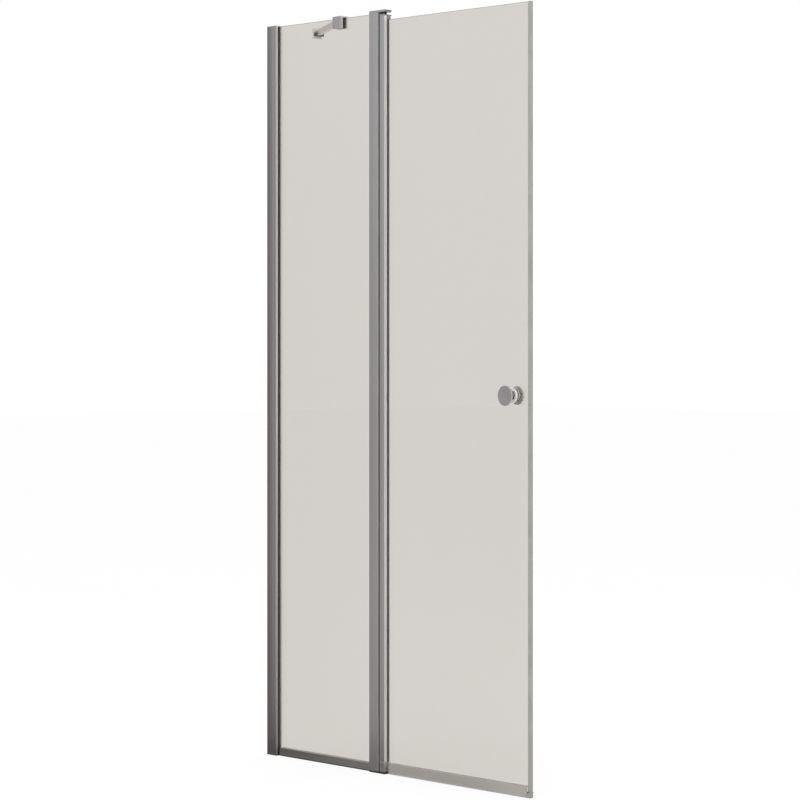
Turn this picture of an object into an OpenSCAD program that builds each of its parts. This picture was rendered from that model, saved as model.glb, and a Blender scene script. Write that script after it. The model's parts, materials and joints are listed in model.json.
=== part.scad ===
// Shower door: a fixed pane between a wall profile and a post, and a door leaf that turns on the post.
// The origin is on the wall, at the foot, in the middle plane of the glass.
// X runs from the wall to the closing edge, Y into the shower and Z up.

/* [Overall] */
// Width from the wall to the closing edge
door_w = 1000; // [900:10:1200]
// Height of the wall profile
door_h = 1950; // [1800:10:2100]
// Distance from the wall to the post
post_x = 418; // [350:1:500]
// Thickness of both panes
glass_t = 6; // [5:0.5:7]
// Height of the door seal above the tray
tray_gap = 0.5; // [0.3:0.1:2]

/* [Upright profiles] */
// Front of the uprights, before the middle of the glass
face_out = 17; // [16.5:0.5:20]
// Back of the uprights, behind the middle of the glass
face_in = 8; // [8:0.5:10]
// Wall thickness of the uprights
wall_t = 1.8; // [1.5:0.1:2]
// Width of the frame profile on the wall
frame_w = 39; // [38:0.5:45]
// Depth of the channel on the wall
channel_d = 22; // [16:0.5:22]
// Width of the post
post_w = 32.5; // [30:0.5:40]
// Width of the turning hinge profile
hinge_w = 17.5; // [17:0.5:20]
// Depth of the glass pocket in the frame profile and the post
pocket_d = 13; // [11:0.5:13]
// Thickness of the outer lip of the frame profile and the post
lip_out = 6; // [5:0.25:7]
// Thickness of the outer lip of the hinge profile
hinge_lip = 8.3; // [7.5:0.1:9]
// Thickness of the inner lips
lip_in = 3; // [2.5:0.1:3.5]
// Step of the inner lips of the frame profile and the hinge profile behind their outer lips
lip_back = 4; // [3:0.25:4.5]
// Gap between the edge of a pane and the bottom of its pocket
edge_gap = 2.5; // [1.5:0.5:3.5]
// Depth of the gaskets in their pockets
gasket_d = 8; // [6:0.5:8.5]
// Step of the gaskets behind the edge of the lips
gasket_step = 0.6; // [0.3:0.1:1.5]
// Thickness of the dark strip between the post and the hinge profile
strip_t = 2; // [1:0.25:3]
// Gap between that strip and the corners of the turning hinge profile
swing_gap = 0.6; // [0.4:0.1:2]
// Thickness of the caps on the ends of the frame profile
cap_t = 2; // [1.5:0.25:3]

/* [Panes] */
// Gap between the fixed pane and the top bracket
pane_gap = 0.2; // [0.2:0.1:1]
// Top of the door pane, under the top end of the leaf
leaf_pane_drop = 12.2; // [11:0.2:20]

/* [Rails] */
// Height of the fixed rail above the tray
rail_h = 21.5; // [20:0.5:30]
// Height of the door rail above the tray
door_rail_h = 27.6; // [26:0.2:36]
// Front of the rails, before the middle of the glass
rail_out = 8.5; // [7.5:0.25:10]
// Back of the rails, behind the middle of the glass
rail_in = 8; // [6.5:0.25:10]
// Wall thickness of the rails
rail_t = 1.6; // [1.2:0.1:1.8]
// Height of the seal under the fixed rail
sill_h = 3; // [2:0.25:5]
// Height of the foot of the drip seal under the door rail
drip_h = 4.5; // [3:0.25:6]
// Height of the lower groove of a rail
groove_h = 5.2; // [4:0.2:6]
// Thickness of the setting blocks under the panes
setting_h = 2; // [1.5:0.25:3]
// Length of a setting block
setting_w = 40; // [20:5:60]
// Gap between a rail and the next upright
rail_gap = 0.3; // [0.2:0.1:1]
// Length of the pads at the ends of the fixed rail
end_pad_w = 5; // [3:0.5:8]
// Step of these pads inside the faces of the rail
end_pad_step = 1; // [0.5:0.25:2]

/* [Brackets and pivots] */
// Thickness of the top bracket
bracket_t = 6; // [5:0.5:8]
// Rise of the top bracket over the wall profile
bracket_rise = 5; // [3:0.5:8]
// Thickness of the bottom bracket
foot_t = 5; // [5:0.5:6]
// Gap between the top bracket and the leaf
top_gap = 6.5; // [6:0.5:10]
// Gap between the bottom bracket and the leaf
foot_gap = 0.5; // [0.3:0.1:1]
// Rise of the leaf from closed to wide open
lift = 4.5; // [3:0.5:5]
// Swing of the leaf from closed to wide open, in degrees
swing = 105; // [90:5:110]
// Diameter of the pivot pins
pin_d = 8; // [7:0.5:8]
// Outer diameter of the pivot bushes
bush_d = 12; // [11:0.5:12]
// Thickness of the end plate of the upper plug
plug_plate_t = 3; // [2:0.5:4]
// Length of the tongues that enter the hinge profile
tongue_l = 30; // [20:1:60]
// Height of the top of the lower block above the tray
block_top = 30; // [29:0.5:36]
// Outer diameter of the lift cams
cam_d = 14; // [13:0.25:14.5]

/* [Closing edge] */
// Width of the closing seal
seal_w = 9.5; // [9:0.25:14]
// Thickness of the closing seal on each side of the glass
seal_leg = 1.5; // [1.2:0.1:2.5]
// Distance from the closing edge to the edge of the pane
seal_nose = 4.7; // [4.5:0.1:6]

/* [Knob] */
// Distance from the knob to the closing edge
knob_in = 64; // [45:1:90]
// Height of the knob
knob_z = 974; // [850:1:1100]
// Diameter of the knob
knob_d = 50; // [44:1:60]
// Diameter of the inner knob
inner_knob_d = 46; // [42:1:56]
// Diameter of the neck of the knob
knob_neck_d = 23; // [20:1:28]
// Distance from the middle of the glass to the face of the knob
knob_out = 30; // [26:0.5:40]
// Distance from the glass to the face of the inner knob
knob_back = 14.5; // [14:0.5:27]
// Thickness of the rim of the knob
knob_rim_t = 5.5; // [5:0.5:6]
// Radius of the hollow between the neck and the rim of the knob
knob_fillet = 3; // [2:0.5:3.5]
// Radius of the edge of the knob
knob_edge = 1.2; // [0.5:0.1:2]
// Diameter of the stud that joins the knobs
stud_d = 8; // [6:0.5:8]
// Diameter of the hole in the glass
glass_hole_d = 14; // [12:0.5:18]
// Thickness of the washers between the knobs and the glass
washer_t = 1; // [0.5:0.25:1]
// Diameter of the rosettes under the knobs
rosette_d = 38; // [32:1:40]
// Thickness of the rosettes under the knobs
rosette_t = 3; // [2:0.5:3]

/* [Stabiliser] */
// Distance from the wall to the clamp on the fixed pane
clamp_x = 272; // [150:1:330]
// Width of the clamp
clamp_w = 34.5; // [30:0.5:45]
// Height of the clamp
clamp_h = 32; // [28:0.5:40]
// Rise of the clamp over the top of the fixed pane
clamp_rise = 4.2; // [3:0.1:6]
// Thickness of the front jaw of the clamp
jaw_out = 6.5; // [5:0.25:8]
// Thickness of the back jaw of the clamp
jaw_in = 4; // [3.5:0.1:4.2]
// Thickness of the bar
bar_s = 11; // [10:0.5:12]
// Height of the bar
bar_h = 16; // [12:0.5:18]
// Distance along the wall from the glass to the middle of the wall flange
flange_y = 159; // [140:1:180]
// Width of the wall flange
flange_w = 32; // [30:1:44]
// Height of the wall flange
flange_h = 28; // [28:1:36]
// Thickness of the wall flange
flange_t = 6; // [4:0.5:8]
// Depth of the boot that holds the bar on the flange
boot_d = 10; // [8:0.5:12]
// Width of the boot
boot_w = 27; // [26:0.5:30]
// Height of the boot
boot_h = 10; // [8:0.5:12]

/* [Screws] */
// Diameter of the holes for the wall screws
wall_hole_d = 5; // [4:0.5:6]
// Distance of the end wall screws from the ends of the wall profile
wall_screw_inset = 100; // [60:10:140]
// Distance between the two middle wall screws
wall_screw_span = 600; // [300:10:900]
// Diameter of the bracket screws
bracket_screw_d = 4; // [3.5:0.25:4.5]
// Diameter of the small screws
small_screw_d = 3; // [2.5:0.25:3]
// Distance of the end adjusting screws from the ends of the frame profile
adjust_inset = 150; // [100:10:300]

/* [Hidden] */
$fn = 48;

// Extra length of a cutting shape past the face it opens
cut = 1;
// Radial clearance of pins, screws and bushes
fit = 0.05;
// Clearance of sliding and plugged pieces
slip = 0.15;
// Width of the hexagonal socket in the head of a screw, as a part of the shank
socket_part = 0.6;

half_glass = glass_t / 2;

// Turning axis of the leaf, and the reach of the corners of the hinge profile around it
sweep_r = norm([hinge_w, face_out + face_in]) / 2;
axis_x = post_x + post_w + strip_t + swing_gap + sweep_r;
mid_y = (face_in - face_out) / 2;
hinge_x = axis_x - hinge_w / 2;
hinge_end = axis_x + hinge_w / 2;

// Pockets of the frame profile, the post and the hinge profile
frame_pocket = frame_w - pocket_d;
post_pocket = post_x + pocket_d;
hinge_pocket = hinge_x + wall_t;
pocket_front = lip_out - face_out;
hinge_pocket_front = hinge_lip - face_out;
pocket_back = face_in - lip_in;

// Heights at the top
bracket_top = door_h + bracket_rise;
bracket_under = bracket_top - bracket_t;
leaf_top = bracket_under - top_gap;
leaf_pane_top = leaf_top - leaf_pane_drop;
hinge_top = leaf_top - plug_plate_t;
pane_top = bracket_under - pane_gap;
frame_gasket_top = min(pane_top, door_h - cap_t);

// Heights at the foot
leaf_foot = foot_t + foot_gap;
fixed_pane_foot = sill_h + groove_h + rail_t + setting_h;
door_rail_foot = tray_gap + drip_h;
door_pane_foot = door_rail_foot + groove_h + rail_t + setting_h;

// Ends of the panes and the rails
pane_x = [frame_pocket + edge_gap, post_pocket - edge_gap];
leaf_pane_x = [hinge_pocket + edge_gap, door_w - seal_nose];
rail_space_x = [frame_w + rail_gap, post_x - rail_gap];
fixed_rail_x = [rail_space_x[0] + end_pad_w, rail_space_x[1] - end_pad_w];
seal_x = door_w - seal_w;
end_lip_t = 1;
end_cap_top = door_pane_foot - rail_gap;
door_rail_x = [axis_x + sweep_r + rail_gap, seal_x - rail_gap];
cap_plug_x = door_rail_x[1] - 12;

// Screw ports in the post
port_wall = 1.5;
port_d = bracket_screw_d + 2 * port_wall;
port_x = (post_pocket + wall_t + post_x + post_w - wall_t) / 2;
port_y = [port_d / 2 + wall_t / 2 - face_out, face_in - port_d / 2 - wall_t / 2];
bracket_screw_l = 22;
bracket_head_d = 2 * bracket_screw_d - 0.5;

// Adjusting screws and their covers
adjust_x = channel_d / 2;
adjust_z = [adjust_inset, door_h / 2, door_h - adjust_inset];
adjust_screw_d = 4;
adjust_screw_l = 7;
adjust_head_d = 7.5;
adjust_head_h = 2.2;
cover_d = 11;
cover_h = 3.6;
cover_t = 1;

// Pivot pieces
pin_collar = 1.5;
pin_head_d = pin_d + 2 * pin_collar;
pin_head_h = 1.4;
key_step = 1;
key_d = pin_d - 2 * key_step;
key_flat = key_d / 2 - key_step;
pin_recess = 0.2;
cam_gap = 0.3;
cam_bore_d = pin_d + 4 * cam_gap;
cam_base_h = 1;
cam_plate_h = 2;
cam_starts = 3;
cam_span = 360 / cam_starts;
cam_trim = 3;
cam_slope = lift / swing;
cam_rise = cam_slope * cam_span;
cam_steps = 8;
cam_inset = 0.1;
cam_top = foot_t + cam_base_h + cam_rise + cam_gap + cam_plate_h;
cam_cavity_d = cam_d + 2 * cam_gap;
block_roof_t = 1.2;

// Tongues of the end pieces, in the front chamber of the hinge profile
chamber_x = [hinge_x + wall_t, hinge_end - wall_t];
chamber_y = [wall_t - face_out, hinge_pocket_front - wall_t];
end_screw_l = 9;
end_screw_z = [block_top + tongue_l / 2, hinge_top - tongue_l / 2];

// Knob
knob_x = door_w - knob_in;
knob_foot = half_glass + washer_t;
knob_seat = knob_foot + rosette_t;
inner_face = half_glass + knob_back;
knob_roof_t = 2.5;
washer_inset = 1.5;
arc_steps = 8;

// Clamp, bar and wall flange
clamp_mid = clamp_x + clamp_w / 2;
clamp_top = pane_top + clamp_rise;
clamp_foot = clamp_top - clamp_h;
roof_gap = 0.5;
clamp_roof = pane_top + roof_gap;
pad_inset = 1;
clamp_screw_d = 5;
clamp_screw_x = [clamp_mid - clamp_w / 4, clamp_mid + clamp_w / 4];
clamp_screw_z = clamp_foot + clamp_h / 4;
bar_z = clamp_top - bar_h / 2;
bar_from = [clamp_mid, face_in];
bar_to = [flange_t, flange_y];
bar_turn = atan2(bar_to[1] - bar_from[1], bar_to[0] - bar_from[0]);
bar_screw_d = 3.5;
bar_screw_head_d = 6.2;
bar_screw_l = 10;
bar_screw_x = clamp_mid - bar_s / 3;
bar_end_gap = 1;
bar_screw_z = clamp_roof - bar_screw_head_d / 2 - roof_gap;
boot_wall = 1.5;
boot_foot = bar_z - bar_h / 2 - boot_wall;
boot_pin_d = 4;
boot_pin_l = 9;
boot_x = flange_t + boot_d / 2;
boot_pin_y = flange_y - (boot_x - flange_t) * tan(180 - bar_turn);
flange_z = bar_z - boot_wall;
flange_edge = 5;
wall_screw_rim = 1.5;
flange_hole_y = flange_y + flange_w / 2 - flange_edge;
flange_hole_z = flange_z + flange_h / 2 - flange_edge;
flange_sink_d = wall_hole_d + 2 * wall_screw_rim;

// Box between two corners, given as ranges along X, Y and Z
module block(x, y, z) {
    translate([x[0], y[0], z[0]]) cube([x[1] - x[0], y[1] - y[0], z[1] - z[0]]);
}

// Rectangle between two corners, given as ranges
module area(a, b) {
    translate([a[0], b[0]]) square([a[1] - a[0], b[1] - b[0]]);
}

// Plan outline drawn up between two heights
module upright(z) {
    translate([0, 0, z[0]]) linear_extrude(z[1] - z[0]) children();
}

// Outline in Y and Z drawn along X
module lengthwise(x) {
    translate([x[0], 0, 0]) rotate([90, 0, 90]) linear_extrude(x[1] - x[0]) children();
}

// Outline in X and Z drawn along Y
module crosswise(y) {
    translate([0, y[1], 0]) rotate([90, 0, 0]) linear_extrude(y[1] - y[0]) children();
}

module rod_x(d, x) {
    translate([x[0], 0, 0]) rotate([0, 90, 0]) cylinder(h = x[1] - x[0], d = d);
}

module rod_y(d, y) {
    translate([0, y[0], 0]) rotate([-90, 0, 0]) cylinder(h = y[1] - y[0], d = d);
}

module rod_z(d, z) {
    translate([0, 0, z[0]]) cylinder(h = z[1] - z[0], d = d);
}

// Countersunk screw along -Z, with the flat of its head at the origin
module countersunk(d, head_d, length) {
    head_h = (head_d - d) / 2;
    difference() {
        union() {
            translate([0, 0, -head_h]) cylinder(h = head_h, d1 = d, d2 = head_d);
            rod_z(d, [-length, -head_h]);
        }
        translate([0, 0, -head_h / 2]) cylinder(h = head_h, d = d * socket_part, $fn = 6);
    }
}

// Hole for such a screw, open past its head and its end
module countersink(d, head_d, length) {
    head_h = (head_d - d) / 2;
    rod_z(d + 2 * fit, [-length - cut, 0]);
    translate([0, 0, -head_h]) cylinder(h = head_h, d1 = d + 2 * fit, d2 = head_d + 2 * fit);
    rod_z(head_d + 2 * fit, [0, cut]);
}

// Pan-head screw along -Y, with the underside of its head at the origin
module pan_screw(d, head_d, head_h, length) {
    difference() {
        union() {
            rod_y(d, [-length, 0]);
            rod_y(head_d, [0, head_h]);
        }
        translate([0, head_h / 2, 0]) rotate([-90, 0, 0]) cylinder(h = head_h, d = d * socket_part, $fn = 6);
    }
}

// Plan of the channel that is screwed to the wall
module channel_plan() {
    outer = [wall_t + slip - face_out, face_in - wall_t - slip];
    difference() {
        area([0, channel_d], outer);
        area([wall_t, channel_d + cut], [outer[0] + wall_t, outer[1] - wall_t]);
    }
}

module wall_channel() {
    color([0.62, 0.62, 0.63]) difference() {
        upright([cap_t + slip, door_h - cap_t - slip]) channel_plan();
        for (span = [door_h - 2 * wall_screw_inset, wall_screw_span], side = [-1, 1]) {
            translate([0, mid_y, door_h / 2 + side * span / 2]) rod_x(wall_hole_d, [-cut, wall_t + cut]);
        }
        for (z = adjust_z) {
            translate([adjust_x, 0, z]) rod_y(adjust_screw_d + 2 * fit, [0, face_in + cut]);
        }
    }
}

// Area that the shorter inner lip of a profile leaves free
module lip_space(end) {
    area([end - lip_back, end + cut], [half_glass, face_in + cut]);
}

// Plan of the frame profile, with a chamber in its outer lip
module frame_plan() {
    difference() {
        area([slip, frame_w], [-face_out, face_in]);
        lip_space(frame_w);
        area([slip - cut, frame_pocket - wall_t], [wall_t - face_out, face_in - wall_t]);
        area([frame_pocket, frame_w + cut], [pocket_front, pocket_back]);
        area([frame_pocket, frame_w - wall_t], [wall_t - face_out, pocket_front - wall_t]);
    }
}

module frame_profile() {
    color([0.60, 0.60, 0.60]) difference() {
        upright([cap_t, door_h - cap_t]) frame_plan();
        for (z = adjust_z) {
            translate([adjust_x, 0, z]) rod_y(adjust_screw_d + 2 * fit, [0, face_in + cut]);
        }
    }
}

module frame_cap() {
    color([0.58, 0.58, 0.58]) difference() {
        block([slip, frame_w], [-face_out, face_in], [door_h - cap_t, door_h]);
        block([pane_x[0] - slip, frame_w + cut], [-half_glass - slip, half_glass + slip],
              [door_h - cap_t - cut, door_h + cut]);
        upright([door_h - cap_t - cut, door_h + cut]) lip_space(frame_w);
    }
}

module frame_foot() {
    color([0.24, 0.24, 0.24]) difference() {
        block([slip, frame_w], [-face_out, face_in], [0, cap_t]);
        upright([-cut, cap_t + cut]) lip_space(frame_w);
    }
}

module adjusting_screws() {
    color([0.75, 0.75, 0.76]) for (z = adjust_z) {
        translate([adjust_x, face_in, z]) {
            pan_screw(adjust_screw_d, adjust_head_d, adjust_head_h, adjust_screw_l);
        }
    }
}

module screw_covers() {
    color([0.70, 0.70, 0.71]) for (z = adjust_z) {
        translate([adjust_x, face_in, z]) difference() {
            rotate([-90, 0, 0]) union() {
                cylinder(h = cover_h - cover_t, d = cover_d);
                translate([0, 0, cover_h - cover_t]) {
                    cylinder(h = cover_t, d1 = cover_d, d2 = cover_d - 2 * cover_t);
                }
            }
            rod_y(adjust_head_d + 2 * slip, [-cut, adjust_head_h + slip]);
        }
    }
}

module fixed_glass() {
    color([0.80, 0.84, 0.83, 0.4]) block(pane_x, [-half_glass, half_glass], [fixed_pane_foot, pane_top]);
}

// Plan of a wedge gasket, from its closed end at 0 to its visible edge at gasket_d
module gasket_plan(y) {
    nose = (y[1] - y[0]) / 6;
    polygon([[0, y[0]], [gasket_d - nose, y[0]], [gasket_d, y[0] + nose], [gasket_d, y[1]], [0, y[1]]]);
}

// Plan of the gasket behind a pane, at the shorter inner lip of a profile
module gasket_plan_in(end) {
    area([end - gasket_step - gasket_d, end - gasket_step - lip_back], [half_glass, pocket_back]);
}

module frame_gasket_out() {
    color([0.09, 0.09, 0.09]) upright([fixed_pane_foot, frame_gasket_top]) {
        translate([frame_w - gasket_step - gasket_d, 0]) gasket_plan([pocket_front, -half_glass]);
    }
}

module frame_gasket_in() {
    color([0.80, 0.80, 0.78]) upright([fixed_pane_foot, frame_gasket_top]) {
        gasket_plan_in(frame_w);
    }
}

// Section of a rail: an upper groove for the pane and a lower groove for the seal
module rail_section(z) {
    inside = [rail_t - rail_out, rail_in - rail_t];
    difference() {
        area([-rail_out, rail_in], z);
        area(inside, [z[0] - cut, z[0] + groove_h]);
        area(inside, [z[0] + groove_h + rail_t, z[1] + cut]);
    }
}

// Section of the two gaskets beside the pane in a rail
module rail_gasket_section(foot, top) {
    z = [foot + gasket_step, top - gasket_step];
    area([rail_t - rail_out, -half_glass], z);
    area([half_glass, rail_in - rail_t], z);
}

// Section of what fills the lower groove of a rail
module groove_section(rail_foot) {
    area([rail_t + slip - rail_out, rail_in - rail_t - slip], [rail_foot, rail_foot + groove_h - slip]);
}

// Seal with a foot as wide as the rail and a stem in its lower groove
module rail_seal(x, stem_x, foot, rail_foot) {
    lengthwise(x) area([-rail_out, rail_in], [foot, rail_foot]);
    lengthwise(stem_x) groove_section(rail_foot);
}

// Two setting blocks at the quarter points of a pane
module setting_pair(x, foot) {
    for (part = [0.25, 0.75]) {
        mid = x[0] + part * (x[1] - x[0]);
        block_x = [mid - setting_w / 2, mid + setting_w / 2];
        block(block_x, [-half_glass, half_glass], [foot - setting_h, foot]);
    }
}

module fixed_rail() {
    color([0.45, 0.45, 0.44]) lengthwise(fixed_rail_x) rail_section([sill_h, rail_h]);
}

module rail_gaskets() {
    color([0.55, 0.55, 0.54]) lengthwise(fixed_rail_x) rail_gasket_section(fixed_pane_foot, rail_h);
}

module setting_blocks() {
    color([0.20, 0.20, 0.20]) setting_pair(pane_x, fixed_pane_foot);
}

module sill_seal() {
    color([0.17, 0.17, 0.17]) rail_seal(fixed_rail_x, fixed_rail_x, 0, sill_h);
}

// Pads between the ends of the fixed rail and the uprights, with a slot for the pane
module rail_end_pads() {
    pad_y = [end_pad_step - rail_out, rail_in - end_pad_step];
    pad_z = [0, rail_h - 3 * end_pad_step];
    color([0.13, 0.12, 0.12]) for (x = [rail_space_x[0], fixed_rail_x[1]]) {
        lengthwise([x, x + end_pad_w]) difference() {
            area(pad_y, pad_z);
            area([-half_glass, half_glass], [fixed_pane_foot, pad_z[1] + cut]);
        }
    }
}

// Plan of the post: a pocket for the pane, a chamber in its lip and a chamber with two screw ports
module post_plan() {
    chamber = [post_pocket + wall_t, post_x + post_w - wall_t];
    difference() {
        area([post_x, post_x + post_w], [-face_out, face_in]);
        area([post_x - cut, post_pocket], [pocket_front, pocket_back]);
        area([post_x + wall_t, post_pocket], [wall_t - face_out, pocket_front - wall_t]);
        difference() {
            area(chamber, [wall_t - face_out, face_in - wall_t]);
            for (y = port_y) {
                translate([port_x, y]) circle(d = port_d);
            }
        }
        for (y = port_y) {
            translate([port_x, y]) circle(d = bracket_screw_d + 2 * fit);
        }
    }
}

module post() {
    color([0.68, 0.68, 0.67]) upright([foot_t, bracket_under]) post_plan();
}

module post_gasket_out() {
    color([0.09, 0.09, 0.09]) upright([fixed_pane_foot, pane_top - gasket_step]) {
        translate([post_x + gasket_step + gasket_d, 0]) mirror([1, 0]) {
            gasket_plan([pocket_front, -half_glass]);
        }
    }
}

module post_gasket_in() {
    color([0.80, 0.80, 0.78]) upright([fixed_pane_foot, pane_top - gasket_step]) {
        area([post_x + gasket_step, post_x + gasket_step + gasket_d], [half_glass, pocket_back]);
    }
}

module post_strip() {
    strip_y = [wall_t - face_out, face_in - wall_t];
    color([0.30, 0.30, 0.30]) upright([foot_t, bracket_under]) {
        area([post_x + post_w, post_x + post_w + strip_t], strip_y);
    }
}

// Plan that both brackets share
module bracket_plan() {
    area([post_x, hinge_end], [-face_out, face_in]);
}

module top_bracket() {
    color([0.62, 0.62, 0.61]) difference() {
        upright([bracket_under, bracket_top]) bracket_plan();
        translate([axis_x, mid_y, 0]) rod_z(bush_d + 2 * fit, [bracket_under - cut, bracket_top + cut]);
        for (y = port_y) {
            translate([port_x, y, bracket_top]) countersink(bracket_screw_d, bracket_head_d, bracket_t);
        }
    }
}

module bottom_bracket() {
    color([0.32, 0.32, 0.32]) difference() {
        upright([0, foot_t]) bracket_plan();
        translate([axis_x, mid_y, 0]) rod_z(pin_d + 2 * fit, [-cut, foot_t + cut]);
        for (y = port_y) {
            translate([port_x, y, 0]) rotate([180, 0, 0]) {
                countersink(bracket_screw_d, bracket_head_d, foot_t);
            }
        }
    }
}

module bracket_screw() {
    countersunk(bracket_screw_d, bracket_head_d, bracket_screw_l);
}

module bracket_screws() {
    color([0.75, 0.75, 0.76]) for (y = port_y) {
        translate([port_x, y, bracket_top]) bracket_screw();
        translate([port_x, y, 0]) rotate([180, 0, 0]) bracket_screw();
    }
}

// The bush leaves room for the head of the pin in the top bracket
module upper_bush() {
    color([0.16, 0.16, 0.17]) translate([axis_x, mid_y, 0]) difference() {
        rod_z(bush_d, [bracket_under, bracket_top - pin_head_h - pin_recess - 2 * fit]);
        rod_z(pin_d + 2 * fit, [bracket_under - cut, bracket_top]);
    }
}

// Outline of the flatted lower end of the upper pin, grown by a clearance
module pin_key(grow) {
    intersection() {
        circle(d = key_d + 2 * grow);
        area([-key_d, key_flat + grow], [-key_d, key_d]);
    }
}

// The pin hangs by its head in the bracket and turns the leaf with its flat, while the leaf slides on it
module upper_pivot_pin() {
    top = bracket_top - pin_recess;
    color([0.80, 0.80, 0.80]) translate([axis_x, mid_y, 0]) union() {
        rod_z(pin_head_d, [top - pin_head_h, top]);
        rod_z(pin_d, [bracket_under - fit, top - pin_head_h]);
        upright([leaf_pane_top + lift + 2 * cam_gap, bracket_under - fit]) pin_key(0);
    }
}

module lower_pivot_pin() {
    color([0.80, 0.80, 0.80]) translate([axis_x, mid_y, 0]) {
        rod_z(pin_d, [pin_recess, block_top - block_roof_t - cam_gap]);
    }
}

// Sector of a ring from angle 0 to span, with a flat foot and a top that slopes between two heights
module cam_ramp(span, foot, start_z, end_z) {
    r_in = cam_bore_d / 2 + cam_inset;
    r_out = cam_d / 2 - cam_inset;
    points = [for (i = [0:cam_steps])
        let (turn = span * i / cam_steps, z = start_z + (end_z - start_z) * i / cam_steps)
        each [for (corner = [[r_in, foot], [r_out, foot], [r_out, z], [r_in, z]])
            [corner[0] * cos(turn), corner[0] * sin(turn), corner[1]]]];
    sides = [for (i = [0:cam_steps - 1], side = [0:3])
        let (a = 4 * i + side, b = 4 * i + (side + 1) % 4)
        each [[a, b + 4, a + 4], [a, b, b + 4]]];
    last = 4 * cam_steps;
    ends = [[0, 2, 1], [0, 3, 2], [last, last + 1, last + 2], [last, last + 2, last + 3]];
    polyhedron(points = points, faces = concat(sides, ends));
}

// Ring of a cam between two heights
module cam_ring(z) {
    difference() {
        rod_z(cam_d, z);
        rod_z(cam_bore_d, [z[0] - cut, z[1] + cut]);
    }
}

module fixed_lift_cam() {
    base = foot_t + cam_base_h;
    color([0.12, 0.12, 0.13]) translate([axis_x, mid_y, 0]) {
        cam_ring([foot_t, base]);
        for (i = [0:cam_starts - 1]) {
            rotate(i * cam_span) cam_ramp(cam_span, base - cam_inset, base + cam_rise, base);
        }
    }
}

// The ramps hang from the ring, follow the fixed ramps at a small gap and stop short of their steps
module moving_lift_cam() {
    ring_foot = foot_t + cam_base_h + cam_rise + cam_gap;
    span = cam_span - cam_trim;
    color([0.22, 0.22, 0.23]) translate([axis_x, mid_y, 0]) {
        cam_ring([ring_foot, cam_top]);
        for (i = [0:cam_starts - 1]) {
            translate([0, 0, ring_foot]) rotate([180, 0, i * cam_span + span]) {
                cam_ramp(span, -cam_inset, cam_rise - cam_slope * cam_trim, 0);
            }
        }
    }
}

// Plan of the hinge profile: a pocket for the pane and a front chamber
module hinge_plan() {
    difference() {
        area([hinge_x, hinge_end], [-face_out, face_in]);
        lip_space(hinge_end);
        area([hinge_pocket, hinge_end + cut], [hinge_pocket_front, pocket_back]);
        area(chamber_x, chamber_y);
    }
}

module hinge_profile() {
    color([0.68, 0.68, 0.67]) difference() {
        upright([block_top, hinge_top]) hinge_plan();
        end_screw_places() countersink_x();
    }
}

// Place of the two screws in the side of the hinge profile, at the middle of each tongue
module end_screw_places() {
    for (z = end_screw_z) {
        translate([hinge_x, (chamber_y[0] + chamber_y[1]) / 2, z]) rotate([0, -90, 0]) children();
    }
}

module countersink_x() {
    countersink(small_screw_d, small_screw_d + 2 * wall_t, end_screw_l);
}

// Tongue in the front chamber of the hinge profile
module tongue(z) {
    block([chamber_x[0] + slip, chamber_x[1] - slip], [chamber_y[0] + slip, chamber_y[1] - slip], z);
}

module upper_plug() {
    color([0.55, 0.55, 0.54]) difference() {
        union() {
            block([hinge_x, hinge_end], [-face_out, face_in], [hinge_top, leaf_top]);
            block([hinge_pocket + slip, hinge_end], [hinge_pocket_front + slip, pocket_back - slip],
                  [leaf_pane_top + slip, hinge_top]);
            tongue([hinge_top - tongue_l, hinge_top]);
        }
        translate([axis_x, mid_y, 0]) upright([leaf_pane_top - cut, leaf_top + cut]) pin_key(2 * fit);
        end_screw_places() rod_z(small_screw_d + 2 * fit, [-end_screw_l - cut, 0]);
    }
}

module lower_block() {
    roof = block_top - block_roof_t;
    color([0.42, 0.42, 0.41]) difference() {
        union() {
            block([hinge_x, hinge_end], [-face_out, face_in], [leaf_foot, block_top]);
            tongue([block_top, block_top + tongue_l]);
        }
        translate([axis_x, mid_y, 0]) rod_z(cam_cavity_d, [leaf_foot - cut, cam_top]);
        translate([axis_x, mid_y, 0]) rod_z(bush_d + 2 * fit, [leaf_foot - cut, roof]);
        end_screw_places() rod_z(small_screw_d + 2 * fit, [-end_screw_l - cut, 0]);
    }
}

module hinge_end_screws() {
    color([0.75, 0.75, 0.76]) end_screw_places() {
        countersunk(small_screw_d, small_screw_d + 2 * wall_t, end_screw_l);
    }
}

module lower_bush() {
    color([0.16, 0.16, 0.17]) translate([axis_x, mid_y, 0]) difference() {
        rod_z(bush_d, [cam_top, block_top - block_roof_t]);
        rod_z(pin_d + 2 * fit, [cam_top - cut, block_top]);
    }
}

module hinge_gasket_out() {
    color([0.09, 0.09, 0.09]) upright([block_top, leaf_pane_top]) {
        translate([hinge_end - gasket_step - gasket_d, 0]) gasket_plan([hinge_pocket_front, -half_glass]);
    }
}

module hinge_gasket_in() {
    color([0.14, 0.14, 0.14]) upright([block_top, leaf_pane_top]) {
        gasket_plan_in(hinge_end);
    }
}

// The pane has a notch for the lower block and a hole for the knob
module door_glass() {
    color([0.80, 0.84, 0.83, 0.4]) difference() {
        crosswise([-half_glass, half_glass]) difference() {
            area(leaf_pane_x, [door_pane_foot, leaf_pane_top]);
            area([leaf_pane_x[0] - cut, door_rail_x[0] - rail_gap],
                 [door_pane_foot - cut, block_top + slip]);
        }
        translate([knob_x, 0, knob_z]) rod_y(glass_hole_d, [-glass_t, glass_t]);
    }
}

module door_rail() {
    color([0.64, 0.64, 0.61]) lengthwise(door_rail_x) rail_section([door_rail_foot, door_rail_h]);
}

module door_rail_gaskets() {
    color([0.62, 0.62, 0.60]) lengthwise(door_rail_x) rail_gasket_section(door_pane_foot, door_rail_h);
}

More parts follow.
